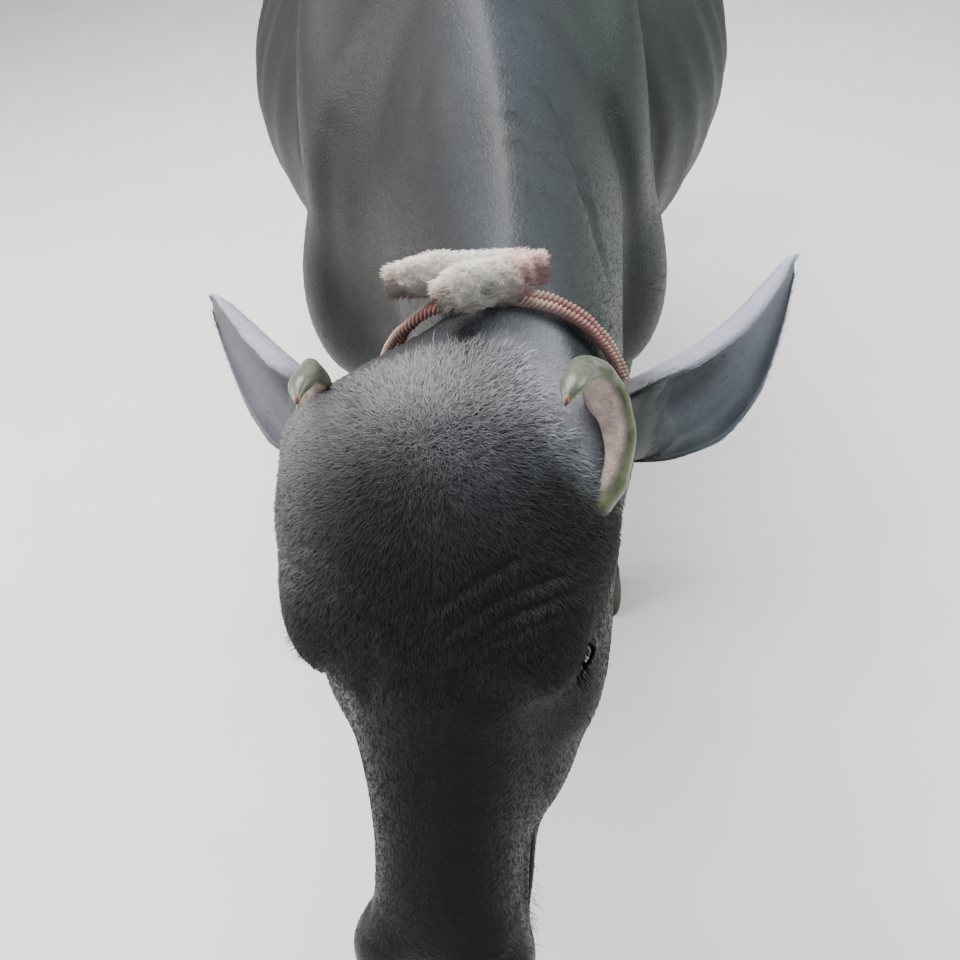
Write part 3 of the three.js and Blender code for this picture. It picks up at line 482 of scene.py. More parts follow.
def camera_at(spot, pitch, roll, yaw, focal):
    """The photo's camera: angles in degrees, focal length in the photo's pixels."""
    p, r, y = (math.radians(v) for v in (pitch, roll, yaw))
    ahead = Vector((math.sin(y) * math.cos(p), math.cos(y) * math.cos(p), -math.sin(p)))
    right = Vector((math.cos(y), -math.sin(y), 0))
    down = ahead.cross(right)
    right, down = right * math.cos(r) + down * math.sin(r), down * math.cos(r) - right * math.sin(r)
    data = bpy.data.cameras.new("view")
    data.sensor_width = SENSOR
    data.lens = SENSOR * focal / PHOTO_SIZE
    made = bpy.data.objects.new("view", data)
    turn = Matrix((right, -down, -ahead)).transposed().to_4x4()
    made.matrix_world = Matrix.Translation(Vector(spot) + Vector(SHIFT / 1000)) @ turn
    bpy.context.collection.objects.link(made)
    bpy.context.scene.camera = made


camera_at((0.094, -1.424, 1.60), 45.6, 6.7, -6.5, 942)


# Materials


class Wire:
    """A shader socket that takes part in sums."""

    def __init__(self, finish, socket):
        self.finish, self.socket = finish, socket

    def _math(self, operation, other, flip=False):
        values = (other, self) if flip else (self, other)
        return self.finish.node("ShaderNodeMath", {"operation": operation}, values)

    def __add__(self, other):
        return self._math("ADD", other)

    __radd__ = __add__

    def __sub__(self, other):
        return self._math("SUBTRACT", other)

    def __rsub__(self, other):
        return self._math("SUBTRACT", other, True)

    def __mul__(self, other):
        return self._math("MULTIPLY", other)


class Finish:
    """A material with one Principled shader, and a method that adds any other node."""

    def __init__(self, name, **constants):
        self.material = bpy.data.materials.new(name)
        self.material.use_nodes = True
        self.tree = self.material.node_tree
        self.shader = self.tree.nodes["Principled BSDF"]
        for socket, value in constants.items():
            self.shader.inputs[socket.replace("_", " ")].default_value = value

    def node(self, kind, settings, values, output=0):
        made = self.tree.nodes.new(kind)
        for key, value in settings.items():
            setattr(made, key, value)
        for key, value in values.items() if isinstance(values, dict) else enumerate(values):
            if isinstance(value, Wire):
                self.tree.links.new(value.socket, made.inputs[key])
            else:
                made.inputs[key].default_value = value
        return Wire(self, made.outputs[output])

    def spot(self):
        return self.node("ShaderNodeTexCoord", {}, {}, "Object")

    def held(self, name, output="Fac"):
        return self.node("ShaderNodeAttribute", {"attribute_name": name}, {}, output)

    def noise(self, scale, detail=3.0, rough=0.55, stretch=(1, 1, 1)):
        where = self.node("ShaderNodeMapping", {}, {"Vector": self.spot(), "Scale": stretch})
        values = {"Vector": where, "Scale": scale, "Detail": detail, "Roughness": rough}
        return self.node("ShaderNodeTexNoise", {}, values)

    def cells(self, scale):
        """How far a place is from the edges between cells."""
        values = {"Vector": self.spot(), "Scale": scale}
        return self.node("ShaderNodeTexVoronoi", {"feature": "DISTANCE_TO_EDGE"}, values)

    def ramp(self, value, *stops):
        """A colour that runs between two stops of a value."""
        made = self.node("ShaderNodeValToRGB", {}, {"Fac": value})
        for element, (at, colour) in zip(made.socket.node.color_ramp.elements, stops):
            element.position, element.color = at, (*colour, 1)
        return made

    def tint(self, value, dark, light):
        """The marking held by the mesh, times a grey that follows a value."""
        grey = self.ramp(value, (0.25, (dark,) * 3), (0.75, (light,) * 3))
        settings = {"data_type": "RGBA", "blend_type": "MULTIPLY"}
        return self.node("ShaderNodeMix", settings, {0: 1.0, 6: self.held("marking", "Color"), 7: grey}, 2)

    def bump(self, height, distance, strength):
        values = {"Height": height, "Distance": distance, "Strength": strength}
        return self.node("ShaderNodeBump", {}, values)

    def feed(self, **links):
        for socket, value in links.items():
            made = self.shader.inputs[socket.replace("_", " ")]
            self.tree.links.new(value.socket, made)
        return self.material


def hide_finish():
    """Charcoal skin: fine lozenge creases, flat hair along the body, and wet pebbles on the muzzle."""
    finish = Finish("charcoal_hide", Specular_IOR_Level=0.25)
    wet = finish.held("wet")
    broad = finish.noise(7, 4)
    fine = finish.noise(85, 4, 0.6)
    hairs = finish.noise(520, 2, 0.6, (1, 0.16, 0.7))
    shade = finish.tint(broad * 0.5 + fine * 0.25 + hairs * 0.25, 0.5, 1.5)
    rough = 0.38 + fine * 0.2 - wet * 0.26
    dry = hairs * 0.5 + finish.cells(190.0) * 0.7 + fine * 0.5
    height = dry * (1 - wet) + wet * finish.cells(330.0) * 2.6
    return finish.feed(Base_Color=shade, Roughness=rough, Normal=finish.bump(height, 0.0015, 0.65))


def grainy_finish(name, specular, broad, fine, share, tones, rough, relief=None):
    """Two noises that share the colour. The roughness follows the broad one, and the relief both or one."""
    finish = Finish(name, Specular_IOR_Level=specular)
    patch = finish.noise(*broad)
    grain = finish.noise(*fine)
    shade = finish.tint(patch * share + grain * (1 - share), *tones)
    links = {"Base_Color": shade, "Roughness": rough[0] + patch * rough[1]}
    if relief:
        of_patch, of_grain, distance, strength = relief
        links["Normal"] = finish.bump(patch * of_patch + grain * of_grain, distance, strength)
    return finish.feed(**links)


def hoof_finish():
    finish = Finish("dark_hoof", Specular_IOR_Level=0.4)
    bands = finish.noise(34, 3, 0.6, (0.25, 0.25, 3))
    dust = finish.noise(24, 4, 0.6)
    stops = (0.32, (0.014, 0.012, 0.011)), (0.72, (0.075, 0.066, 0.055))
    shade = finish.ramp(bands * 0.5 + dust * 0.5, *stops)
    return finish.feed(Base_Color=shade, Roughness=0.46 + dust * 0.3, Normal=finish.bump(bands, 0.0012, 0.6))


def eye_finish():
    """A dark brown iris round a level pupil, under a wet clear coat."""
    finish = Finish("wet_eye", Specular_IOR_Level=0.3, Coat_Weight=0.6, Coat_Roughness=0.03)
    streaks = finish.noise(260, 3)
    return finish.feed(Base_Color=finish.tint(streaks, 0.6, 1.5), Roughness=0.12 + streaks * 0.08)


def hair_finish(name, rough):
    return grainy_finish(name, 0.28, (40, 3), (700, 2), 0.6, (0.7, 1.3), (rough, 0.2))


def cotton_finish(name):
    relief = (0, 1, 0.0005, 0.8)
    return grainy_finish(name, 0.15, (60, 4, 0.65), (1300, 2), 0.6, (0.62, 1.25), (0.95, -0.1), relief)


def ear_finish():
    down, relief = (900, 2, 0.6, (1, 0.3, 1)), (0, 1, 0.0004, 0.4)
    return grainy_finish("blue_grey_ear", 0.35, (38, 4, 0.6), down, 0.7, (0.86, 1.14), (0.5, 0.2), relief)


def horn_finish():
    flakes, relief = (480, 3, 0.6), (0.7, 0.5, 0.0006, 0.45)
    return grainy_finish("grey_green_horn", 0.5, (120, 4, 0.65), flakes, 0.7, (0.5, 1.5), (0.2, 0.2), relief)


HIDE = hide_finish()
EAR = ear_finish()
HORN = horn_finish()
HOOF = hoof_finish()
EYES = eye_finish()
ROPE = cotton_finish("pink_rope")
COTTON = cotton_finish("dirty_cotton")
BROW_HAIR = hair_finish("brow_hair", 0.42)
BODY_HAIR = hair_finish("body_hair", 0.42)
EAR_HAIR = hair_finish("ear_hair", 0.6)
SWITCH_HAIR = hair_finish("switch_hair", 0.4)

# Markings and painted light, as linear colours
CHARCOAL = np.array([0.0150, 0.0146, 0.0156])
# painted reflection of cool light: a bluer, darker black for the body's left half
COOL_REFLECTION_BLACK = np.array([0.0105, 0.0130, 0.0145])
SLATE = np.array([0.0085, 0.0085, 0.0090])
BARE_GREY = np.array([0.185, 0.182, 0.205])
# grey skin of the neck's crest, partly a painted sheen where its top is lit
NECK_GREY_AND_SHEEN = np.array([0.034, 0.039, 0.048])
OLIVE = np.array([0.0190, 0.0180, 0.0120])
FROST = np.array([0.190, 0.187, 0.199])
UDDER_SKIN = np.array([0.105, 0.072, 0.066])
# painted reflection of the sky on the left upper lid
LID_SKY_REFLECTION = np.array([0.095, 0.100, 0.118])
MUZZLE_BLACK = np.array([0.010, 0.010, 0.011])
# painted shade for the bottoms of folds
CREASE_SHADE = np.array([0.0045, 0.0045, 0.005])
DUST = np.array([0.034, 0.030, 0.025])


def fade(value, start, stop):
    """0 before start, 1 past stop, smooth between."""
    t = np.clip((value - start) / (stop - start), 0, 1)
    return t * t * (3 - 2 * t)


def near(points, centre, radii):
    """1 at a centre, falling to 0 at about twice the radii."""
    return np.exp(-((((points - centre) / radii) ** 2).sum(axis=1)))


def near_value(value, middle, width):
    return np.exp(-(((value - middle) / width) ** 2))


def lay(under, over, share):
    return under + (over - under) * share[:, None]


def layered(base, *layers):
    """Colours of points: a base, then colours and how much each covers it at every point."""
    colour = np.tile(np.array(base), (len(layers[0][1]), 1))
    for over, share in layers:
        colour = lay(colour, np.array(over), share)
    return colour


def brow_share(q):
    """Where the thick frosted hair of the forehead grows, in the head's frame."""
    f = -q[:, 1]
    edge = fade(q[:, 2], -66, -34) * fade(f, -34, -8) * (1 - fade(f, 216, 262))
    return edge * (1 - fade(0.81 * q[:, 0] - 0.58 * f, 40, 66))


def frosted(q):
    """How grey the hair of the forehead is: most at its back and right, and not at all low down."""
    f = -q[:, 1]
    side = fade(-q[:, 0], 30, 130) * (1 - fade(f, 130, 230))
    return np.clip(1 - fade(f, 0, 92) + 0.6 * side, 0, 1) * (1 - 0.5 * fade(q[:, 0], 40, 110))


def bare_share(p, q):
    """The bare grey skin behind the forehead's hair, from the rope to the root of the left horn."""
    f = -q[:, 1]
    share = fade(0.81 * q[:, 0] - 0.58 * f, 34, 62) * (1 - fade(f, 66, 118)) * fade(q[:, 2], -118, -84)
    share = share * (1 - fade(p[:, 1], POLL[1] + 92, POLL[1] + 130))
    return share * (1 - fade(q[:, 0] - 0.6 * q[:, 2], 128, 158)) * fade(q[:, 0], -50, -10)


def crease_shade_share(p, line, width, depth):
    """How much painted shade darkens the bottom of a fold, on the upper part of the body."""
    share = np.exp(-((from_line(p, line) / (1.5 * width)) ** 2)) * min(depth / 16, 0.7)
    return np.where(p[:, 2] > 700, share, 0)


def markings_and_painted_light(p):
    """The colour of the skin, and of the hair that grows from it, at points of the body, with painted shade,
    a painted sheen and painted reflections laid in.
    """
    q = in_head(p)
    x, y, z = p.T
    f = -q[:, 1]
    on_face = fade(-y, -POLL[1] - 60, -POLL[1] + 10)
    # the top of the neck's crest: grey skin and a painted sheen
    crest_grey_and_sheen = near_value(x, 54, 64) * fade(z, 1080, 1170) * (1 - fade(y, -330, 40))
    mottle = np.sin(y * 0.021 + 2 * np.sin(z * 0.017)) * np.sin(z * 0.026 + 1.7 * np.sin(x * 0.019))
    belly = near(mirrored(p), np.array([0.0, UDDER_Y, UDDER_Z - 30]), [150, 190, 110])
    return layered(
        CHARCOAL,
        # painted reflection of cool light over the body's left half, off the face
        (COOL_REFLECTION_BLACK, fade(x, -40, 90) * (1 - on_face) * 0.8),
        (NECK_GREY_AND_SHEEN, crest_grey_and_sheen * 0.9),
        (DUST, (0.5 + 0.5 * mottle) * (0.22 + 0.5 * (1 - fade(z, 90, 520))) * (1 - on_face)),
        # painted shade in the bottoms of the neck's creases and folds, and of the fold behind the shoulder
        *[(CREASE_SHADE, crease_shade_share(p, *fold)) for fold in body_folds + side_folds[:1]],
        (FROST * 0.5, brow_share(q) * frosted(q) * on_face * 0.8),
        (BARE_GREY, bare_share(p, q)),
        (SLATE, on_face * fade(f, 226, 300)),
        (OLIVE, on_face * fade(q[:, 0], 66, 96) * fade(f, 60, 130) * 0.75),
        # painted reflection of the sky on the left upper lid
        (LID_SKY_REFLECTION, near(q, np.array([94.0, -196.0, -22.0]), [26, 10, 14]) * 0.8),
        (MUZZLE_BLACK, wetness(p)),
        (UDDER_SKIN, np.clip(belly * 1.3, 0, 1) * (1 - fade(z, 640, 720))),
    )


def wetness(p):
    q = in_head(p)
    front = fade(-q[:, 1], 478, 500) * fade(q[:, 2], -104, -96)
    return front * (1 - fade(q[:, 2], -30, -12))


# Eyes: what both the lids and the balls are worked out from
EYE_AXIS = np.array([1, -0.42, 0.3]) / math.sqrt(1 + 0.42**2 + 0.3**2)
EYE_CENTRE = np.array([EYE["x"], -EYE["f"], EYE["u"]], float)
to_muzzle = np.array([-0.22, -1, -0.34])
EYE_ALONG = to_muzzle - (to_muzzle @ EYE_AXIS) * EYE_AXIS
EYE_ALONG /= np.linalg.norm(EYE_ALONG)
EYE_RISE = np.cross(EYE_ALONG, EYE_AXIS)
LID = 4.6
LID_HALF, UPPER_ARCH, LOWER_ARCH = 21, 9.5, 7.5
LID_REACH = 60  # how far from the middle of the eye its lids are worked out


def brow_line(*spots):
    """Points on the surface of the head, given as x and f."""
    x, f = np.array(spots, float).T
    low, high = np.full(len(x), -150.0), np.full(len(x), 90.0)
    for _ in range(22):
        middle = (low + high) / 2
        inside = head_distance(np.stack([x, -f, middle], -1)) < 0
        low, high = np.where(inside, middle, low), np.where(inside, high, middle)
    return np.stack([x, -f, low], -1)


def from_line(p, line):
    """The distance from points to a line through several places."""
    best = np.full(len(p), 1e9)
    for a, b in zip(line[:-1], line[1:]):
        t = np.clip((p - a) @ (b - a) / ((b - a) @ (b - a)), 0, 1)
        best = np.minimum(best, np.linalg.norm(p - a - t[:, None] * (b - a), axis=1))
    return best


def folds(*rows):
    """Folds as (line, half width, depth), from rows of the width, the depth and the line's points."""
    return [(np.array(line, float), width, depth) for width, depth, *line in rows]


head_folds = folds(
    (3.6, 4.0, *brow_line((29, 193), (56, 171), (85, 155), (112, 146))),
    (3.4, 4.4, *brow_line((32, 211), (70, 178), (112, 159))),
    (3.2, 3.8, *brow_line((47, 206), (84, 185), (104, 176))),
    (3.2, 3.2, *brow_line((60, 222), (92, 196))),
    (3.6, 2.4, *brow_line((24, 172), (52, 150), (84, 132))),
    (12, 8.0, *brow_line((36, 224), (48, 250))),
    (5.0, -2.2, (94, -262, -84), (74, -330, -96), (60, -392, -98)),
    (10, 3.2, (104, -150, -118), (92, -236, -140), (66, -320, -140)),
    (4.0, 2.0, (70, -404, -106), (62, -396, -116), (54, -392, -130)),
    (4.0, 2.0, (62, -440, -58), (60, -462, -30), (40, -474, -14)),
    (3.0, 2.4, (8, -512, -40), (6, -524, -70), (4, -522, -98)),
)
# Creases of the neck, then folds of its sides
body_folds = folds(
    (6, 3.2, (-40, -592, 1176), (9, -582, 1212), (46, -579, 1212), (82, -565, 1196), (128, -548, 1130)),
    (6, 3.0, (-30, -640, 1168), (14, -626, 1203), (50, -616, 1203), (91, -597, 1182), (140, -580, 1110)),
    (5, 2.4, (-20, -686, 1158), (18, -668, 1192), (56, -662, 1190), (98, -646, 1166)),
    (7, 2.6, (-30, -530, 1196), (20, -520, 1228), (70, -512, 1218), (120, -500, 1160)),
    (20, 13, (-47, -470, 1190), (-38, -582, 1166), (-15, -700, 1150)),
    (12, 4, (110, -500, 1190), (140, -620, 1100), (140, -720, 1010)),
    (14, 6, (96, -640, 880), (120, -520, 800), (120, -420, 740)),
)
side_folds = folds(
    (26, 12, (236, -90, 1080), (262, -60, 920), (262, -70, 760)),  # behind the shoulder
    (24, 9, (172, -330, 1090), (205, -350, 930), (210, -370, 800)),  # before the shoulder
    (16, 6, (205, -250, 900), (222, -160, 860), (230, -80, 830)),  # over the triceps
    (14, 6, (188, -60, 640), (196, -110, 560), (178, -110, 500)),  # elbow
    (62, 20, (330, 640, 1150), (330, 730, 1080)),  # hollow of the flank
    (24, 8, (300, 600, 640), (240, 720, 620), (214, 800, 700)),  # fold from flank to stifle
    (22, 7, (232, 900, 900), (200, 1000, 760), (170, 1040, 640)),  # back of the thigh
    (26, 10, (90, 1130, 1150), (100, 1160, 1020)),  # beside the tail
    (9, -5, (130, 60, 560), (150, 330, 530), (130, 620, 545)),  # milk vein
    *[(6, 4, (FORE_X + x, FORE_Y + 16, 340), (FORE_X + x, FORE_Y + 20, 200)) for x in (26, -26)],
    *[(6, 4, (HIND_X + x, HOCK_Y + 16, 440), (HIND_X + x + 6, HOCK_Y, 200)) for x in (20, -32)],
    *[(10, 5, (HIND_X + x, HOCK_Y + 20, 620), (HIND_X + x, HOCK_Y + 24, 540)) for x in (22, -38)],
)


def folded(d, p, folds):
    for line, width, depth in folds:
        middle = (line.min(axis=0) + line.max(axis=0)) / 2
        reach = (line.max(axis=0) - line.min(axis=0)) / 2 + 3 * width
        close = (np.abs(p - middle) < reach).all(axis=1)
        if close.any():
            d[close] += depth * np.exp(-((from_line(p[close], line) / width) ** 2))
    return d


nostril = Egg(0, 0, 0, 10.5, 25, 14)
NOSTRIL_AT = np.array([41.0, -508.0, -46.0])
NOSTRIL_TURNED = np.array(Matrix.Rotation(-0.55, 3, "Z"))


def face_detail(d, p):
    """Eyelids, nostrils, the line of the mouth and the folds, worked into the distance to the head."""
    q = in_head(p)
    side = mirrored(q)
    folded(d, side, head_folds)
    v = side - EYE_CENTRE
    along, rise, out = v @ EYE_ALONG, v @ EYE_RISE, v @ EYE_AXIS
    ball = np.linalg.norm(v, axis=1)
    close = ball < LID_REACH
    arch = 1 - (along / LID_HALF) ** 2
    d[close] = blend(d[close], ball[close] - EYE["radius"] - LID, 9)
    upper, lower = rise - UPPER_ARCH * arch, -rise - LOWER_ARCH * arch
    fold = 2.4 * near_value(upper, 7, 2.2) + 1.4 * near_value(upper, 13, 2.4)
    fold += 1.6 * near_value(lower, 6, 2.2) + 1.0 * near_value(lower, 11, 2.2)
    d[close] += (fold * fade(out, 0, 12) * (1 - fade(np.abs(along), 20, 30)))[close]
    opening = np.maximum(np.maximum(upper, lower), -out)
    d[close] = np.maximum(d[close], EYE["radius"] + 0.9 - ball[close])
    d[close] = -blend(-d[close], opening[close], 2.5)
    hole = nostril((side - NOSTRIL_AT) @ NOSTRIL_TURNED)
    d = -blend(-d, hole, 9)
    f = -q[:, 1]
    from_mouth = q[:, 2] + 119 - 0.05 * f
    lips = 7 * near_value(from_mouth, 0, 3.4) - 2.4 * near_value(np.abs(from_mouth), 10, 6)
    return d + lips * fade(f, 384, 404)


RIB_STEP = 86
DETAIL_BAND = 45  # how far from the flesh the folds are worked out


def rib_detail(p):
    x, y, z = p.T
    window = fade(y, -60, 60) * (1 - fade(y, 520, 700)) * fade(z, 640, 760)
    window *= (1 - fade(z, 1120, 1230)) * fade(np.abs(x), 200, 280)
    return 3.0 * window * np.cos((y + 0.16 * (z - 900)) * TURN / RIB_STEP)


def skin_field(p):
    """The field of the flesh, drawn in by the depth of the coat, with every fold."""
    d = flesh(p) + COAT
    close = np.abs(d) < DETAIL_BAND
    if close.any():
        q = p[close]
        e = folded(d[close], q, body_folds)
        e = folded(e, mirrored(q), side_folds) + rib_detail(q)
        face = q[:, 1] < POLL[1] + 60
        if face.any():
            e[face] = face_detail(e[face], q[face])
        d[close] = e
    return d


# Skin
EYE_STEP, HEAD_STEP = 2.6, 5.2
left_eye, right_eye = on_head([EYE_CENTRE, EYE_CENTRE * [-1, 1, 1]])
fine = [
    [(v - 32, v + 32, EYE_STEP) for v in sorted((left_eye[n], right_eye[n]))] + [(low, high, HEAD_STEP)]
    for n, (low, high) in enumerate(((-170, 170), (-1250, -760), (700, 1210)))
]
axes = [ticks(-470, 470, fine[0], 12), ticks(-1290, 1270, fine[1], 13), ticks(60, 1380, fine[2], 12)]
points, faces = net(skin_field, axes)
points, normals = settle(skin_field, points)
skin = piece("skin", points, faces, HIDE, marking=markings_and_painted_light(points), wet=wetness(points))
LEGS = [f"{end}_{side}" for end in ("foreleg", "hind_leg") for side in SIDES.values()]
place(skin, "hide", "torso", "neck", "head", "tail", "udder", *LEGS)


# Eyes


def around(count):
    """Even angles round a circle."""
    return np.arange(count) * TURN / count


def uv_ball(across, down):
    """Points of a ball of radius 1 round the z axis, with its faces."""
    turn = around(across)
    fall = (np.arange(down) + 0.5) * math.pi / down
    rings = [[np.sin(a) * np.cos(turn), np.sin(a) * np.sin(turn), 0 * turn + np.cos(a)] for a in fall]
    return tube(np.array(rings).transpose(0, 2, 1))


def tube(rings, closed=False):
    """Joins rings of points, each with as many, and closes both ends on a point unless the tube is a loop."""
    rows, sides = rings.shape[:2]
    points = rings.reshape(-1, 3)
    i, j = np.meshgrid(np.arange(rows if closed else rows - 1), np.arange(sides), indexing="ij")
    here, ahead, beside = i * sides, (i + 1) % rows * sides, (j + 1) % sides
    faces = np.stack([here + j, here + beside, ahead + beside, ahead + j], -1).reshape(-1, 4)
    if closed:
        return points, faces
    points = np.vstack([points, rings[0].mean(axis=0), rings[-1].mean(axis=0)])
    j = np.arange(0, sides, 2)
    start, middle = (rows - 1) * sides, np.full(len(j), rows * sides)
    first = np.stack([middle, (j + 2) % sides, j + 1, j], -1)
    last = np.stack([middle + 1, j + start, j + start + 1, (j + 2) % sides + start], -1)
    return points, np.concatenate([faces, first, last])


def eyeball(side):
    ball, faces = uv_ball(64, 40)
    basis = np.stack([EYE_ALONG, EYE_RISE, EYE_AXIS])
    bulge = 1 + 0.045 * fade(ball[:, 2], 0.72, 1.0)
    from_pupil = np.hypot(ball[:, 0] / 0.36, ball[:, 1] / 0.16)
    from_iris = np.hypot(ball[:, 0], ball[:, 1])
    colour = layered(
        [0.030, 0.014, 0.008],
        ([0.008, 0.005, 0.004], fade(from_iris, 0.4, 0.62)),
        ([0.12, 0.09, 0.075], fade(from_iris, 0.66, 0.74) * 0.7),
        ([0.002, 0.002, 0.003], 1 - fade(from_pupil, 0.9, 1.1)),
    )
    points = (ball * bulge[:, None] * EYE["radius"]) @ basis + EYE_CENTRE
    made = piece(f"eyeball_{SIDES[side]}", on_head(points * [side, 1, 1]), faces, EYES, marking=colour)
    place(made, "eye", f"eye_{SIDES[side]}")


eyeball(1)
eyeball(-1)


# Horns, ears, hooves and the collar


def through(points, count):
    """Even steps along a smooth curve through the points, as the CAD part draws it."""
    p = np.array(points, float)
    p = np.vstack([2 * p[0] - p[1], p, 2 * p[-1] - p[-2]])
    out = []
    for t in np.linspace(0, 1, count):
        at = min(t * (len(p) - 3), len(p) - 3 - 1e-9)
        i = int(at)
        w = at - i
        p0, p1, p2, p3 = p[i : i + 4]
        d0, d1, d2 = (math.sqrt(max(np.linalg.norm(b - a), 1e-6)) for a, b in ((p0, p1), (p1, p2), (p2, p3)))
        m1 = ((p1 - p0) / d0 - (p2 - p0) / (d0 + d1) + (p2 - p1) / d1) * d1
        m2 = ((p2 - p1) / d1 - (p3 - p1) / (d1 + d2) + (p3 - p2) / d2) * d1
        a, b = 2 * p1 - 2 * p2 + m1 + m2, -3 * p1 + 3 * p2 - 2 * m1 - m2
        out.append(p1 + w * (m1 + w * (b + w * a)))
    return np.array(out)


def unit(v):
    return v / np.maximum(np.linalg.norm(v, axis=-1, keepdims=True), 1e-12)


def across_path(path, up):
    """Two directions across a path."""
    ahead = unit(np.gradient(path, axis=0))
    across = unit(np.cross(ahead, up))
    return across, np.cross(across, ahead)


def spokes(across, rise, angle):
    """The directions from places to the points of a ring round each of them."""
    return np.cos(angle)[None, :, None] * across[:, None] + np.sin(angle)[None, :, None] * rise[:, None]


def growth(t):
    """The waves of the growth rings along a horn."""
    return np.sin(58 * t**0.8 + 1.2 * np.sin(9 * t))


def horn(side, inward):
    """A flattened horn with growth rings, pale on its inner face, with a dark tip in an orange rim."""
    knots = [(96, -104, -24), (120, -96, -28), (134, -74, -40), (139, -38, -42)]
    knots += [(134, -12, -26), (128, -4, 4), (126, -16, 33), (125, -28, 45)]
    knots = [(x - inward * (0.35 + 0.65 * i / 7), y, z) for i, (x, y, z) in enumerate(knots)]
    rows, sides = 150, 40
    path = through(knots, rows)
    across, rise = across_path(path, (0, 0, 1))
    t = np.linspace(0, 1, rows)
    tip = np.clip((1 - t) / 0.17, 0, 1) ** 0.62
    rings = 1 + 0.035 * growth(t) * (1 - fade(t, 0.55, 0.85))
    wide = (24 - 18.5 * t**1.4) * tip * rings
    high = (19 - 14.5 * t**1.3) * tip * rings
    inner = unit(path[30:].mean(axis=0) - path)
    facing = (unit(spokes(across, rise, around(sides))) * inner[:, None]).sum(axis=2)
    out = spokes(across * wide[:, None], rise * high[:, None], around(sides))
    points, faces = tube(path[:, None] + out * (1 - 0.34 * fade(facing, 0.1, 1.0))[..., None])
    facing = np.append(facing.reshape(-1), [0, 0])
    where = np.append(np.repeat(t, sides), [0, 1])
    tip_line = where + 0.012 * np.sin(facing * 5)
    colour = layered(
        [0.105, 0.112, 0.082],
        ([0.035, 0.037, 0.026], fade(growth(where), 0.2, 1) * (1 - fade(where, 0.5, 0.8)) * 0.8),
        ([0.62, 0.47, 0.41], fade(facing, 0.3, 0.62) * fade(where, 0.1, 0.24)),
        ([0.13, 0.15, 0.05], near_value(facing, 0.1, 0.2) * 0.7),
        ([0.44, 0.46, 0.27], near_value(facing, -0.72, 0.07) * (1 - fade(where, 0.25, 0.45))),
        ([0.30, 0.13, 0.05], fade(tip_line, 0.935, 0.95) * (1 - fade(tip_line, 0.96, 0.972))),
        ([0.020, 0.018, 0.017], fade(tip_line, 0.955, 0.975)),
    )
    made = piece(f"ringed_horn_{SIDES[side]}", on_head(points * [side, 1, 1]), faces, HORN, marking=colour)
    place(made, "horn", f"horn_{SIDES[side]}")


horn(1, 4)
horn(-1, 44)

EAR_ROOT = np.array([126.0, -48.0, -74.0])
EAR_HALF, EAR_WIDEST = 54, 0.48
EAR_SHAPES = {  # the tip, what way the cup faces, and how far its middle sags and spreads
    1: ([266, 104, -250], [0.15, -0.6, 0.62], 27, 28),
    -1: ([326, 80, -214], [-0.1, -0.5, 0.75], 28, 4),
}


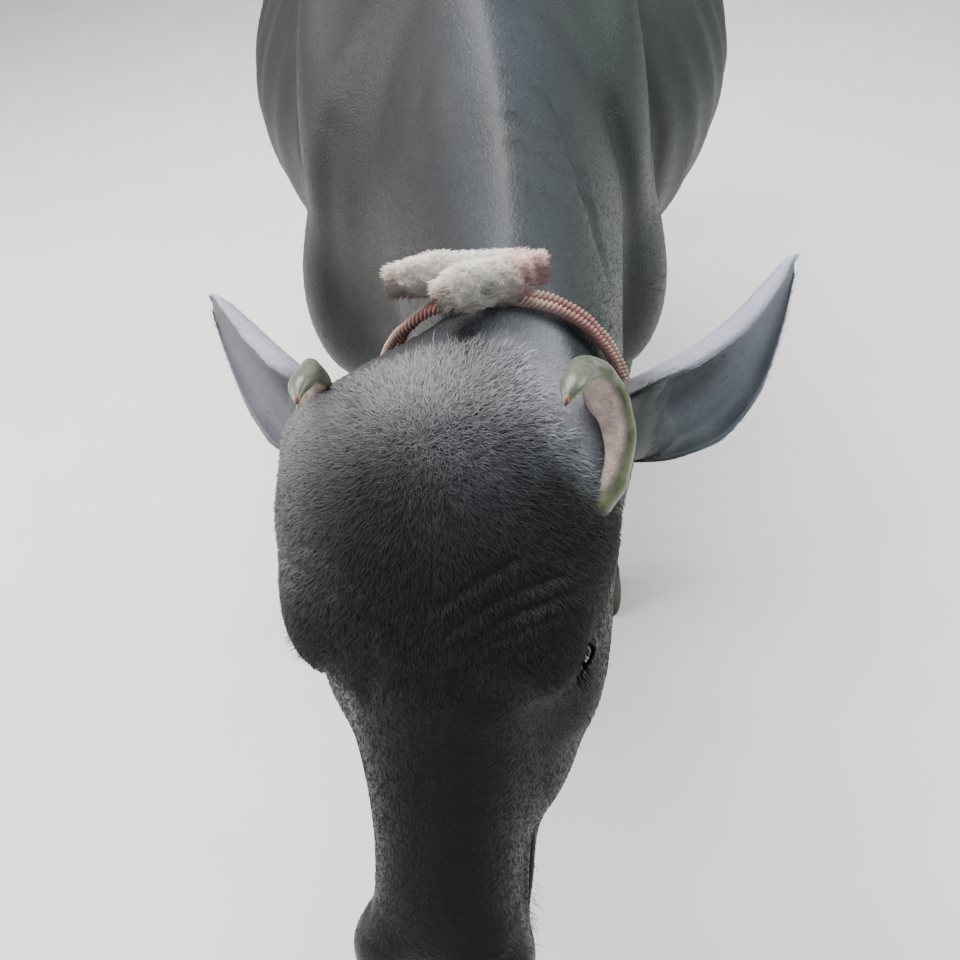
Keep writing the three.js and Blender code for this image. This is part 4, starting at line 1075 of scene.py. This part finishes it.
def ear(side):
    """A leaf rolled into a cup on a thick root, pale along one rim, partly as a painted highlight on its lit
    edge, with painted shade in its hollow.
    """
    rows, across = 70, 30
    tip, front, sag, spread = EAR_SHAPES[side]
    front = np.array(front)
    length = np.linalg.norm(tip - EAR_ROOT)
    ahead = (tip - EAR_ROOT) / length
    opens = unit(front - (front @ ahead) * ahead)
    wide = np.cross(ahead, opens)
    t = np.linspace(0, 1, rows)[:, None]
    out = np.where(t < EAR_WIDEST, (EAR_WIDEST - t) / EAR_WIDEST, (t - EAR_WIDEST) / (1.02 - EAR_WIDEST))
    to_root, to_tip = 1 - 0.42 * out**1.8, (1 - np.minimum(out, 1) ** 2.3) ** 0.72
    half = np.where(t < EAR_WIDEST, to_root, to_tip) * EAR_HALF + 1.0
    depth = half * (0.85 - 0.45 * t)
    thick = 13 - 10 * t**0.7
    hollow = np.minimum(1, 3.2 * t)
    centre = EAR_ROOT + ahead * (t * length) + (sag * wide + spread * opens) * np.sin(math.pi * t)
    a = np.linspace(-1, 1, across)[None, :]
    wave = 1 + 0.018 * np.sin(26 * t + 3 * a) * np.abs(a) ** 3
    turn = a * 1.1 * math.pi / 2
    floor = 1 + (-(1 - thick / np.maximum(depth, thick)) - 1) * hollow
    ribs = 1.6 * np.cos(a * 4.2 * math.pi) * fade(t, 0.1, 0.3) * (1 - fade(t, 0.55, 0.9)) * (1 - a**4)
    aside = half * np.sin(turn) * wave
    lift = floor * depth * np.cos(turn) + ribs
    outer = centre[:, None] + wide * aside[..., None] - opens * (depth * np.cos(turn))[..., None]
    inner = centre[:, None] + wide * (0.93 * aside)[..., None] + opens * lift[..., None]
    points, faces = tube(np.concatenate([outer, inner[:, ::-1]], axis=1))
    along = np.append(np.repeat(t, 2 * across), [0, 1])
    over = np.append(np.tile(np.append(a[0], a[0][::-1]), rows), [0, 0])
    inside = np.append(np.tile(np.append(np.zeros(across), np.ones(across)), rows), [0, 1])
    # painted shade in the hollow of the cup
    pit_shade = inside * (1 - fade(np.abs(over + 0.05), 0.12, 0.5)) * (1 - fade(along, 0.45, 0.74))
    colour = layered(
        [0.125, 0.130, 0.150],
        # pale rim: partly the ear's own pale edge, partly a painted highlight where it is lit
        ([0.30, 0.31, 0.37], fade(-over, 0.30, 0.75) * fade(along, 0.12, 0.35)),
        ([0.24, 0.24, 0.27], inside * fade(along, 0.45, 0.95) * 0.8),
        # painted shade in the ear's hollow
        ([0.040, 0.040, 0.046], pit_shade * 0.85),
        ([0.050, 0.048, 0.047], fade(over, 0.1, 0.9) * (1 - fade(along, 0.2, 0.6)) * 0.7),
        # the root dark like the hide, reaching further up the inner side as painted shade
        (CHARCOAL * 2.4, 1 - fade(along, 0.08, 0.24 + 0.16 * inside)),
    )
    points = on_head(points * [side, 1, 1])
    place(piece(f"soft_ear_{SIDES[side]}", points, faces, EAR, marking=colour), "ear", f"ear_{SIDES[side]}")
    return points, faces, colour, (along, over, inside), on_head(ahead * [side, 1, 1]) - POLL


EARS = {side: ear(side) for side in (1, -1)}


def claw(x, y, outward):
    """One claw: a wall that slopes from the coronet, with growth rings, a worn edge and a soft heel."""
    z = np.linspace(0, 74, 26)
    angle = around(48)
    c, s = np.cos(angle)[None], np.sin(angle)[None]
    level = np.array([0, 22, 74])
    toe = np.interp(z, level, [66, 62, 26])[:, None]
    heel = np.interp(z, level, [44, 48, 44])[:, None]
    half = np.interp(z, level, [26, 26, 21])[:, None]
    swell = (1 + 0.012 * np.sin(z * 0.9) + 0.02 * near_value(z, 70, 5))[:, None]
    worn = (1 - 0.045 * np.exp(-z / 2.5))[:, None]
    reach = np.where(s < 0, toe, heel) * swell * worn
    flat = np.where(c * outward < 0, 0.86, 1.0) * swell * worn
    across = x + outward * 3 + flat * half * np.sign(c) * np.abs(c) ** 0.8
    rings = np.stack([across, y + reach * s, np.broadcast_to(z[:, None], across.shape)], -1)
    return tube(rings)


def joined(parts):
    """Several point and face arrays as one."""
    points, faces, start = [], [], 0
    for p, f in parts:
        points.append(p)
        faces.append(f + start)
        start += len(p)
    return np.concatenate(points), np.concatenate(faces)


def hooves():
    claws, dews = [], []
    ball, ball_faces = uv_ball(20, 12)
    for foot, foot_x in ((FORE_Y - 34, FORE_X), (HOCK_Y - 68, HIND_X)):
        for side in (1, -1):
            for inside in (-1, 1):
                claws.append(claw(side * foot_x + inside * 29, foot, inside))
                dew = ball * [13, 14, 19] + [side * foot_x + inside * 21, foot + 76, 122]
                dews.append((dew, ball_faces))
    names = [f"{leg}_claw_{part}" for leg in LEGS for part in ("inner", "outer")]
    place(piece("cloven_hooves", *joined(claws), HOOF), "hoof", *names)
    place(piece("dewclaws", *joined(dews), HOOF), "hoof")


hooves()


COLLAR_MIDDLE = np.array([60.0, POLL[1] + 74, 1020.0])


def soften(path, rounds):
    """Evens out a closed path."""
    for _ in range(rounds):
        path = 0.5 * path + 0.25 * (np.roll(path, 1, axis=0) + np.roll(path, -1, axis=0))
    return path


def strand(name):
    """A strand of three plies twisted together, laid along the solid one."""
    corners = cad_points(name, SHIFT)
    turn = np.arctan2(corners[:, 0] - COLLAR_MIDDLE[0], corners[:, 2] - COLLAR_MIDDLE[2])
    path = soften(corners[np.argsort(turn)].reshape(-1, 6, 3).mean(axis=1), 2)
    steps = 760
    at = np.arange(steps) / steps * len(path)
    loop = np.vstack([path, path[:2]])
    path = soften(np.stack([np.interp(at, np.arange(len(loop)), loop[:, n]) for n in range(3)], -1), 12)
    ahead = unit(np.roll(path, -1, axis=0) - np.roll(path, 1, axis=0))
    across = unit(np.cross(ahead, unit(path - COLLAR_MIDDLE)))
    out = np.cross(across, ahead)
    turns, plies = 62, 3
    parts = []
    for ply in range(plies):
        twist = (turns * np.arange(steps) / steps + ply / plies) * TURN
        swell = 2.5 + 0.25 * np.sin(np.arange(steps) * 0.7 + ply * 2)
        middle = path + 2.3 * (np.cos(twist)[:, None] * across + np.sin(twist)[:, None] * out)
        rings = middle[:, None] + swell[:, None, None] * spokes(across, out, around(8))
        parts.append(tube(rings, closed=True))
    points, faces = joined(parts)
    colour = layered(
        [0.50, 0.36, 0.31],
        ([0.42, 0.21, 0.19], 0.5 + 0.5 * np.sin(points[:, 0] * 0.05 + points[:, 1] * 0.04 + 1.5)),
        ([0.16, 0.12, 0.10], fade(-points[:, 2], -1090, -900) * 0.6),
    )
    place(piece(f"twisted_{name}", points, faces, ROPE, marking=colour), "collar_rope", name)


strand("collar_strand_front")
strand("collar_strand_back")


# Tufts: each is a thin three-sided spike with one bend
TUFT_ROUND = np.radians([90, 210, 330])
TUFT_FACES = np.array(
    [(i, (i + 1) % 3, 3 + (i + 1) % 3) for i in range(3)]
    + [(i, 3 + (i + 1) % 3, 3 + i) for i in range(3)]
    + [(3 + i, 3 + (i + 1) % 3, 6) for i in range(3)]
)
TUFT_PATCH = np.array([(0, 0), (0.5, 0), (1, 0), (0, 0.5), (0.5, 0.5), (1, 0.5), (0.5, 1)]) * 0.003


def column(value, count):
    return np.broadcast_to(np.asarray(value, float).reshape(-1, 1), (count, 1))


def tufts(
    name, roots, normals, lie, length, width, lift, colours, patches, material, curl=0.12, sunk=1.2, vary=0.12
):
    """A mesh of tufts. colours holds those of the root and of the tip; patches their places on the unwrap."""
    n = len(roots)
    length, width, lift = (column(v, n) for v in (length, width, lift))
    length = length * rng.uniform(0.72, 1.2, (n, 1))
    lie = unit(lie - (lie * normals).sum(axis=1, keepdims=True) * normals)
    lie = unit(lie + rng.normal(0, 1, (n, 1)) * curl * np.cross(normals, lie))
    aside = np.cross(normals, lie)
    lift = np.maximum(lift * rng.uniform(0.5, 1.5, (n, 1)), 0.04)
    middle = roots + 0.5 * length * (lie * np.cos(lift) + normals * np.sin(lift))
    onward = unit(lie + normals * 0.55 * np.sin(lift) + aside * 1.6 * curl * rng.normal(0, 1, (n, 1)))
    tip = middle + 0.5 * length * onward
    corners = spokes(aside, normals, TUFT_ROUND)
    base = (roots - sunk * normals)[:, None] + width[:, None] * corners
    half = middle[:, None] + 0.74 * width[:, None] * corners
    points = np.concatenate([base, half, tip[:, None]], axis=1).reshape(-1, 3)
    faces = (TUFT_FACES[None] + 7 * np.arange(n)[:, None, None]).reshape(-1, 3)
    low, high = colours
    shade = rng.uniform(1 - vary, 1 + vary, (n, 1))
    low, high = low * shade, high * shade
    marking = np.repeat(np.stack([low, 0.5 * (low + high), high], 1), (3, 3, 1), axis=1).reshape(-1, 3)
    made = piece(name, points, faces, material, marking=marking)
    shading = np.repeat(normals[:, None], 7, axis=1)
    shading[:, :6] += 0.45 * np.concatenate([corners, corners], axis=1)
    made.data.normals_split_custom_set_from_vertices(unit(shading).reshape(-1, 3))
    uv = (np.clip(patches, 0, 0.995)[:, None] + TUFT_PATCH[None])[:, TUFT_FACES.reshape(-1)]
    made.data.uv_layers.new(name="OFBake").data.foreach_set("uv", uv.astype(np.float32).reshape(-1))
    return made


def scatter(points, faces, normals, weight, count):
    """Roots spread over a skin, as densely as a weight at each of its points says, and the normals there."""
    corner = points[faces]
    area = 0.5 * np.linalg.norm(np.cross(corner[:, 2] - corner[:, 0], corner[:, 3] - corner[:, 1]), axis=1)
    share = np.cumsum(area * weight[faces].mean(axis=1))
    pick = np.searchsorted(share, rng.random(count) * share[-1])
    chosen = faces[np.minimum(pick, len(faces) - 1)]
    u, v = rng.random((2, count, 1))
    parts = np.stack([(1 - u) * (1 - v), u * (1 - v), u * v, (1 - u) * v], 1)
    return (points[chosen] * parts).sum(axis=1), unit((normals[chosen] * parts).sum(axis=1))


WHORL = np.array([8.0, -52.0, 20.0])


def lie_of(p):
    """The way the coat lies: out from the whorl over the head, then back along the body and down the legs."""
    q = in_head(p)
    lie = layered(
        [0.0, 1.0, -0.38],
        ([0.0, 0.12, -1.0], 1 - fade(p[:, 2], 560, 760)),
        ([0.0, 0.05, -1.0], fade(p[:, 1], PIN_Y + 6, PIN_Y + 26)),
    )
    from_whorl = unit((q - WHORL) * [1, 1, 0.8]) @ HEAD_TURNED.T
    on_face = fade(-p[:, 1], -POLL[1] - 90, -POLL[1] - 30)[:, None]
    return unit(lie * (1 - on_face) + from_whorl * on_face)


def share_of_turn(a, b):
    return np.arctan2(a, b) / TURN + 0.5


def body_patches(p):
    return np.stack([share_of_turn(p[:, 0], p[:, 2] - 900), (p[:, 1] + 1300) / 2600], -1)


def head_patches(p):
    q = in_head(p)
    return np.stack([share_of_turn(q[:, 0], q[:, 2] + 70), (40 - q[:, 1]) / 640], -1)


def leg_patches(p):
    hind = p[:, 1] > 400
    x = np.abs(p[:, 0]) - np.where(hind, HIND_X, FORE_X)
    y = p[:, 1] - np.where(hind, HOCK_Y, FORE_Y)
    tile = np.where(hind, 0.5, 0) + np.where(p[:, 0] > 0, 0.25, 0)
    return np.stack([tile + 0.24 * share_of_turn(x, y), p[:, 2] / 900], -1)


def coats():
    q = in_head(points)
    f = -q[:, 1]
    from_eye = mirrored(q) - EYE_CENTRE
    on_face = fade(-points[:, 1], -POLL[1] - 24, -POLL[1] - 14)
    open_eye = fade(np.linalg.norm(from_eye - 12 * EYE_AXIS, axis=1), 20, 30)
    open_eye = open_eye * (np.linalg.norm(from_eye, axis=1) > EYE["radius"] + 3)
    brow = brow_share(q) * on_face
    nose = 1 - fade(f, 440, 490)
    face = on_face * (1 - brow) * open_eye * nose * (1 - 0.85 * bare_share(points, q))
    legs = (1 - fade(points[:, 2], 560, 620)) * fade(points[:, 2], 84, 96)
    legs *= 1 - near(mirrored(points), np.array([0, UDDER_Y, UDDER_Z]), [120, 150, 90])
    neck = (1 - on_face) * (1 - fade(points[:, 1], SHOULDER_Y - 60, SHOULDER_Y + 60))
    flank = (1 - neck) * (1 - on_face) * fade(points[:, 2], 560, 620)
    udder = near(points, np.array([0, UDDER_Y, UDDER_Z - 30]), [150, 190, 100])
    flank *= 1 - np.clip(udder * 1.4, 0, 1)
    for name, weight, count, unwrap, length, width, lift in (
        ("brow_tufts_a", brow * open_eye, 21500, head_patches, 11.5, 0.6, 0.2),
        ("brow_tufts_b", brow * open_eye, 21500, head_patches, 11.5, 0.6, 0.2),
        ("face_tufts", face, 20500, head_patches, 6.5, 0.34, 0.08),
        ("neck_tufts", neck, 21500, body_patches, 12.0, 0.42, 0.06),
        ("flank_tufts_a", flank, 20000, body_patches, 14.0, 0.48, 0.05),
        ("flank_tufts_b", flank, 20000, body_patches, 14.0, 0.48, 0.05),
        ("leg_tufts", legs, 14000, leg_patches, 9.0, 0.45, 0.07),
    ):
        roots, up = scatter(points, faces, normals, weight, count)
        p = in_head(roots)
        f = -p[:, 1]
        mark = markings_and_painted_light(roots) * 1.5 + 0.003
        tips = mark * 1.2 + 0.002
        hair, curl, vary = BODY_HAIR, 0.1, 0.2
        if name.startswith("brow"):
            frost = frosted(p)
            tips = lay(mark * 1.1 + 0.004, FROST, frost * rng.uniform(0.05, 1.35, count))
            edge = 1 - fade(f, -34, 6)
            start = 1 - fade(np.linalg.norm(p - WHORL, axis=1), 8, 60)
            length = length - 3 * fade(f, 150, 240) + 8 * edge - 3.5 * start
            lift = lift + 0.14 * frost + 0.2 * edge
            hair, curl, vary = BROW_HAIR, 0.22 + 0.5 * start[:, None], 0.5
        elif name == "face_tufts":
            length, curl = length - 2 * fade(f, 300, 460), 0.12
        lie, patches = lie_of(roots), unwrap(roots)
        coat = tufts(name, roots, up, lie, length, width, lift, (mark, tips), patches, hair, curl, vary=vary)
        place(coat, "hide")


coats()


def nearest_of(roots, points, step=1):
    """The point nearest to each root, among every few points."""
    return np.argmin(np.linalg.norm(roots[:, None, :] - points[None, ::step, :], axis=2), axis=1) * step


def ear_coats():
    """Short hair on the backs of the ears, and a longer fringe inside their rims."""
    for side, (p, quads, colour, (along, over, inside), ahead) in EARS.items():
        leaf = quads[:-60]  # without the faces that close its ends
        corner = p[leaf]
        across = np.cross(corner[:, 2] - corner[:, 0], corner[:, 3] - corner[:, 1]) * -side
        up = np.zeros_like(p)
        for n in range(4):
            np.add.at(up, leaf[:, n], across)
        rim = fade(np.abs(over), 0.7, 0.98)
        weight = (1 - inside) * 0.8 + rim * 1.6 + inside * 0.5 * (1 - fade(along, 0.6, 0.9))
        roots, up = scatter(p, leaf, unit(up), weight * fade(along, 0.06, 0.16), 5200)
        nearest = nearest_of(roots, p, 7)
        length = 6.5 + 5 * inside[nearest] * (1 - rim[nearest]) + 3 * rim[nearest]
        lie = np.tile(unit(ahead), (len(roots), 1)) + 0.1 * rng.normal(0, 1, (len(roots), 3))
        patches = np.stack([(over[nearest] + 1) / 4 + 0.5 * inside[nearest], along[nearest]], -1) * 0.98
        patches += rng.uniform(0, 0.004, patches.shape)
        mark = colour[nearest] * 1.3 + 0.015
        marks = (mark, mark * 1.1 + 0.004)
        made = tufts(f"ear_down_{SIDES[side]}", roots, up, lie, length, 0.3, 0.1, marks, patches, EAR_HAIR)
        place(made, "ear")


ear_coats()


def lashes(side):
    """Lashes along an upper lid."""
    n = 64
    along = rng.uniform(-18, 18, n)
    rise = 9.6 * (1 - (along / LID_HALF) ** 2) + 1.2
    radius = EYE["radius"] + LID - 0.6
    out = np.sqrt(radius**2 - along**2 - rise**2)
    q = EYE_CENTRE + along[:, None] * EYE_ALONG + rise[:, None] * EYE_RISE + out[:, None] * EYE_AXIS
    lie = unit(1.0 * EYE_AXIS + 0.25 * EYE_RISE + 0.02 * along[:, None] * EYE_ALONG)
    lie, up = ((v * [side, 1, 1]) @ HEAD_TURNED.T for v in (lie, EYE_RISE))
    roots, up = on_head(q * [side, 1, 1]), np.tile(up, (n, 1))
    black = np.full((n, 3), 0.006)
    patches = np.stack([0.2 + along / 100, np.full(n, 0.5)], -1)
    name = f"lashes_{SIDES[side]}"
    place(tufts(name, roots, up, lie, 17, 0.32, 0.5, (black, black), patches, BODY_HAIR, 0.06), "hair")


def bristles():
    """Long bristles about the lips and the chin."""
    q = in_head(points)
    f = -q[:, 1]
    lips = fade(f, 420, 460) * near_value(q[:, 2], -112, 26) * (1 - 0.7 * wetness(points))
    chin = fade(f, 380, 440) * (1 - fade(q[:, 2], -150, -126))
    roots, up = scatter(points, faces, normals, (lips + chin) * (points[:, 1] < POLL[1] - 100), 520)
    dark = np.full((len(roots), 3), 0.012)
    pale = np.full((len(roots), 3), 0.10) * rng.uniform(0.2, 1, (len(roots), 1))
    lie, patches = lie_of(roots), head_patches(roots)
    made = tufts("lip_bristles", roots, up, lie, 19, 0.24, 0.9, (dark, pale), patches, BODY_HAIR, 0.3)
    place(made, "hair")


lashes(1)
lashes(-1)
bristles()


def roll(name, start, stop, radius, stain_at):
    """A short roll of frayed cotton: a lumpy twisted core under loose fibres."""
    top = cad_points(name, SHIFT)[:, 2].max() - radius
    a, b = np.array([*start, top]), np.array([*stop, top])
    rows, sides, count = 90, 40, 5200
    t = np.linspace(0, 1, rows)[:, None]
    path = a + (b - a) * t
    path[:, 2] += 2.0 * np.sin(t[:, 0] * 5.0)
    angle = around(sides)[None]
    end = np.sqrt(np.clip(1 - (2 * t - 1) ** 8, 0.02, 1))
    twist = 0.5 + 0.5 * np.cos(5 * angle - 9 * t + 0.8 * np.sin(7 * t))
    lumps = 0.07 * np.sin(9 * t + 2 * np.sin(3 * angle)) + 0.05 * np.sin(23 * t + 4 * angle)
    size = radius * end * (0.82 + 0.14 * np.sqrt(twist) + lumps)
    rings = path[:, None] + size[..., None] * spokes(*across_path(path, (0, 0, 1)), around(sides))
    core, quads = tube(rings)
    where = np.append(np.repeat(t, sides), [0, 1])
    dirty = 0.5 + 0.5 * np.sin(core[:, 0] * 0.31 + 3 * np.sin(core[:, 1] * 0.2) + core[:, 2] * 0.4)
    colour = layered(
        [0.80, 0.73, 0.66],
        ([0.86, 0.46, 0.44], near_value(where, stain_at, 0.2) * 0.75),
        ([0.34, 0.30, 0.26], dirty**3 * 0.5),
        ([0.50, 0.36, 0.30], near_value(where, 0, 0.08) * 0.5),
    )
    place(piece(f"cotton_{name}", core, quads, COTTON, marking=colour), "knot_cotton", name)
    out = unit(core - (a + (b - a) * where[:, None]))
    weight = 1 + 1.6 * (np.abs(where - 0.5) > 0.44)
    roots, up = scatter(core, quads[:-sides], out, weight, count)
    nearest = nearest_of(roots, core)
    ahead = unit(b - a)
    lie = unit(np.cross(up, ahead) * 0.8 + ahead * rng.choice([-1, 1], (count, 1)) * 0.9)
    at_end = np.abs(where[nearest] - 0.5) > 0.45
    lie[at_end] = (ahead * np.sign(where[nearest] - 0.5)[:, None])[at_end]
    patches = np.stack([where[nearest] * 0.98, rng.random(count) * 0.98], -1)
    length = np.where(at_end, 11.0, 7.5)
    marks = (colour[nearest], np.minimum(colour[nearest] * 1.15, 0.85))
    made = tufts(f"fibres_{name}", roots, up, lie, length, 0.34, 0.38, marks, patches, COTTON, 0.5, 0.4)
    place(made, "knot_cotton")


roll("knot_front", (14, POLL[1] + 52), (74, POLL[1] + 80), 18, 0.95)
roll("knot_back", (-32, POLL[1] + 96), (88, POLL[1] + 108), 16, 0.98)


def tail_switch():
    """Long locks that leave the end of the tail and hang in a tapered brush."""
    t = np.linspace(0, 1, 9)
    locks = []
    for _ in range(460):
        angle = rng.uniform(0, TURN)
        start = 655 - 70 * rng.random()
        drop = rng.uniform(0.55, 1) * (start - 300)
        spread = rng.uniform(2, 26)
        out = np.array([math.cos(angle), math.sin(angle), 0])
        sway = rng.normal(0, 3.5, 2)
        middle = np.array([6, PIN_Y + 41, 0]) + out * (7 + spread * np.sin(math.pi * t**0.8)[:, None] * 0.9)
        middle[:, 0] += sway[0] * np.sin(t * 5 + angle)
        middle[:, 1] += sway[1] * np.sin(t * 4 + 2 * angle)
        middle[:, 2] = start - drop * t
        width = rng.uniform(1.6, 3.4) * (0.5 + 1.2 * t) * (1.03 - t) ** 0.8
        side = np.array([-out[1], out[0], 0])
        ring = [(1, 0), (0, 0.45), (-1, 0), (0, -0.45)]
        locks.append(tube(np.stack([middle + width[:, None] * (a * side + b * out) for a, b in ring], 1)))
    points, faces = joined(locks)
    colour = layered([0.010, 0.010, 0.011], ([0.034, 0.024, 0.017], fade(-points[:, 2], -560, -330)))
    place(piece("tail_locks", points, faces, SWITCH_HAIR, marking=colour), "hair", "tail_switch")


tail_switch()


# Floor and light


def lamp(name, spot, aim, size, power, colour):
    """A round area light that faces a place."""
    data = bpy.data.lights.new(name, "AREA")
    data.shape, data.size, data.energy, data.color = "DISK", size, power, colour
    made = bpy.data.objects.new(name, data)
    made.location = spot
    made.rotation_euler = (Vector(aim) - Vector(spot)).to_track_quat("-Z", "Y").to_euler()
    bpy.context.collection.objects.link(made)


def floor_and_light():
    finish = Finish("pale_floor", Roughness=0.85, Specular_IOR_Level=0.2)
    stops = (0.3, (0.78, 0.77, 0.75)), (0.7, (0.83, 0.82, 0.80))
    finish.feed(Base_Color=finish.ramp(finish.noise(3, 4), *stops))
    half = 9000
    corners = [(-half, -half, 0), (half, -half, 0), (half, half, 0), (-half, half, 0)]
    piece("floor", corners, [(0, 1, 2, 3)], finish.material, False)
    world = bpy.data.worlds.new("soft_room")
    bpy.context.scene.world = world
    world.use_nodes = True
    glow = world.node_tree.nodes["Background"].inputs
    glow["Color"].default_value = (0.86, 0.92, 1.0, 1)
    glow["Strength"].default_value = 0.5
    lamp("top_panel", (-0.5, 0.7, 3.9), (0, -0.3, 1.0), 3.2, 290, (1.0, 0.99, 0.97))
    lamp("left_panel", (-3.0, -0.2, 2.2), (0, -0.2, 0.9), 2.2, 120, (1.0, 0.98, 0.95))
    lamp("right_panel", (3.0, 0.4, 2.4), (0, 0.0, 0.9), 2.2, 85, (0.84, 1.0, 0.94))


floor_and_light()
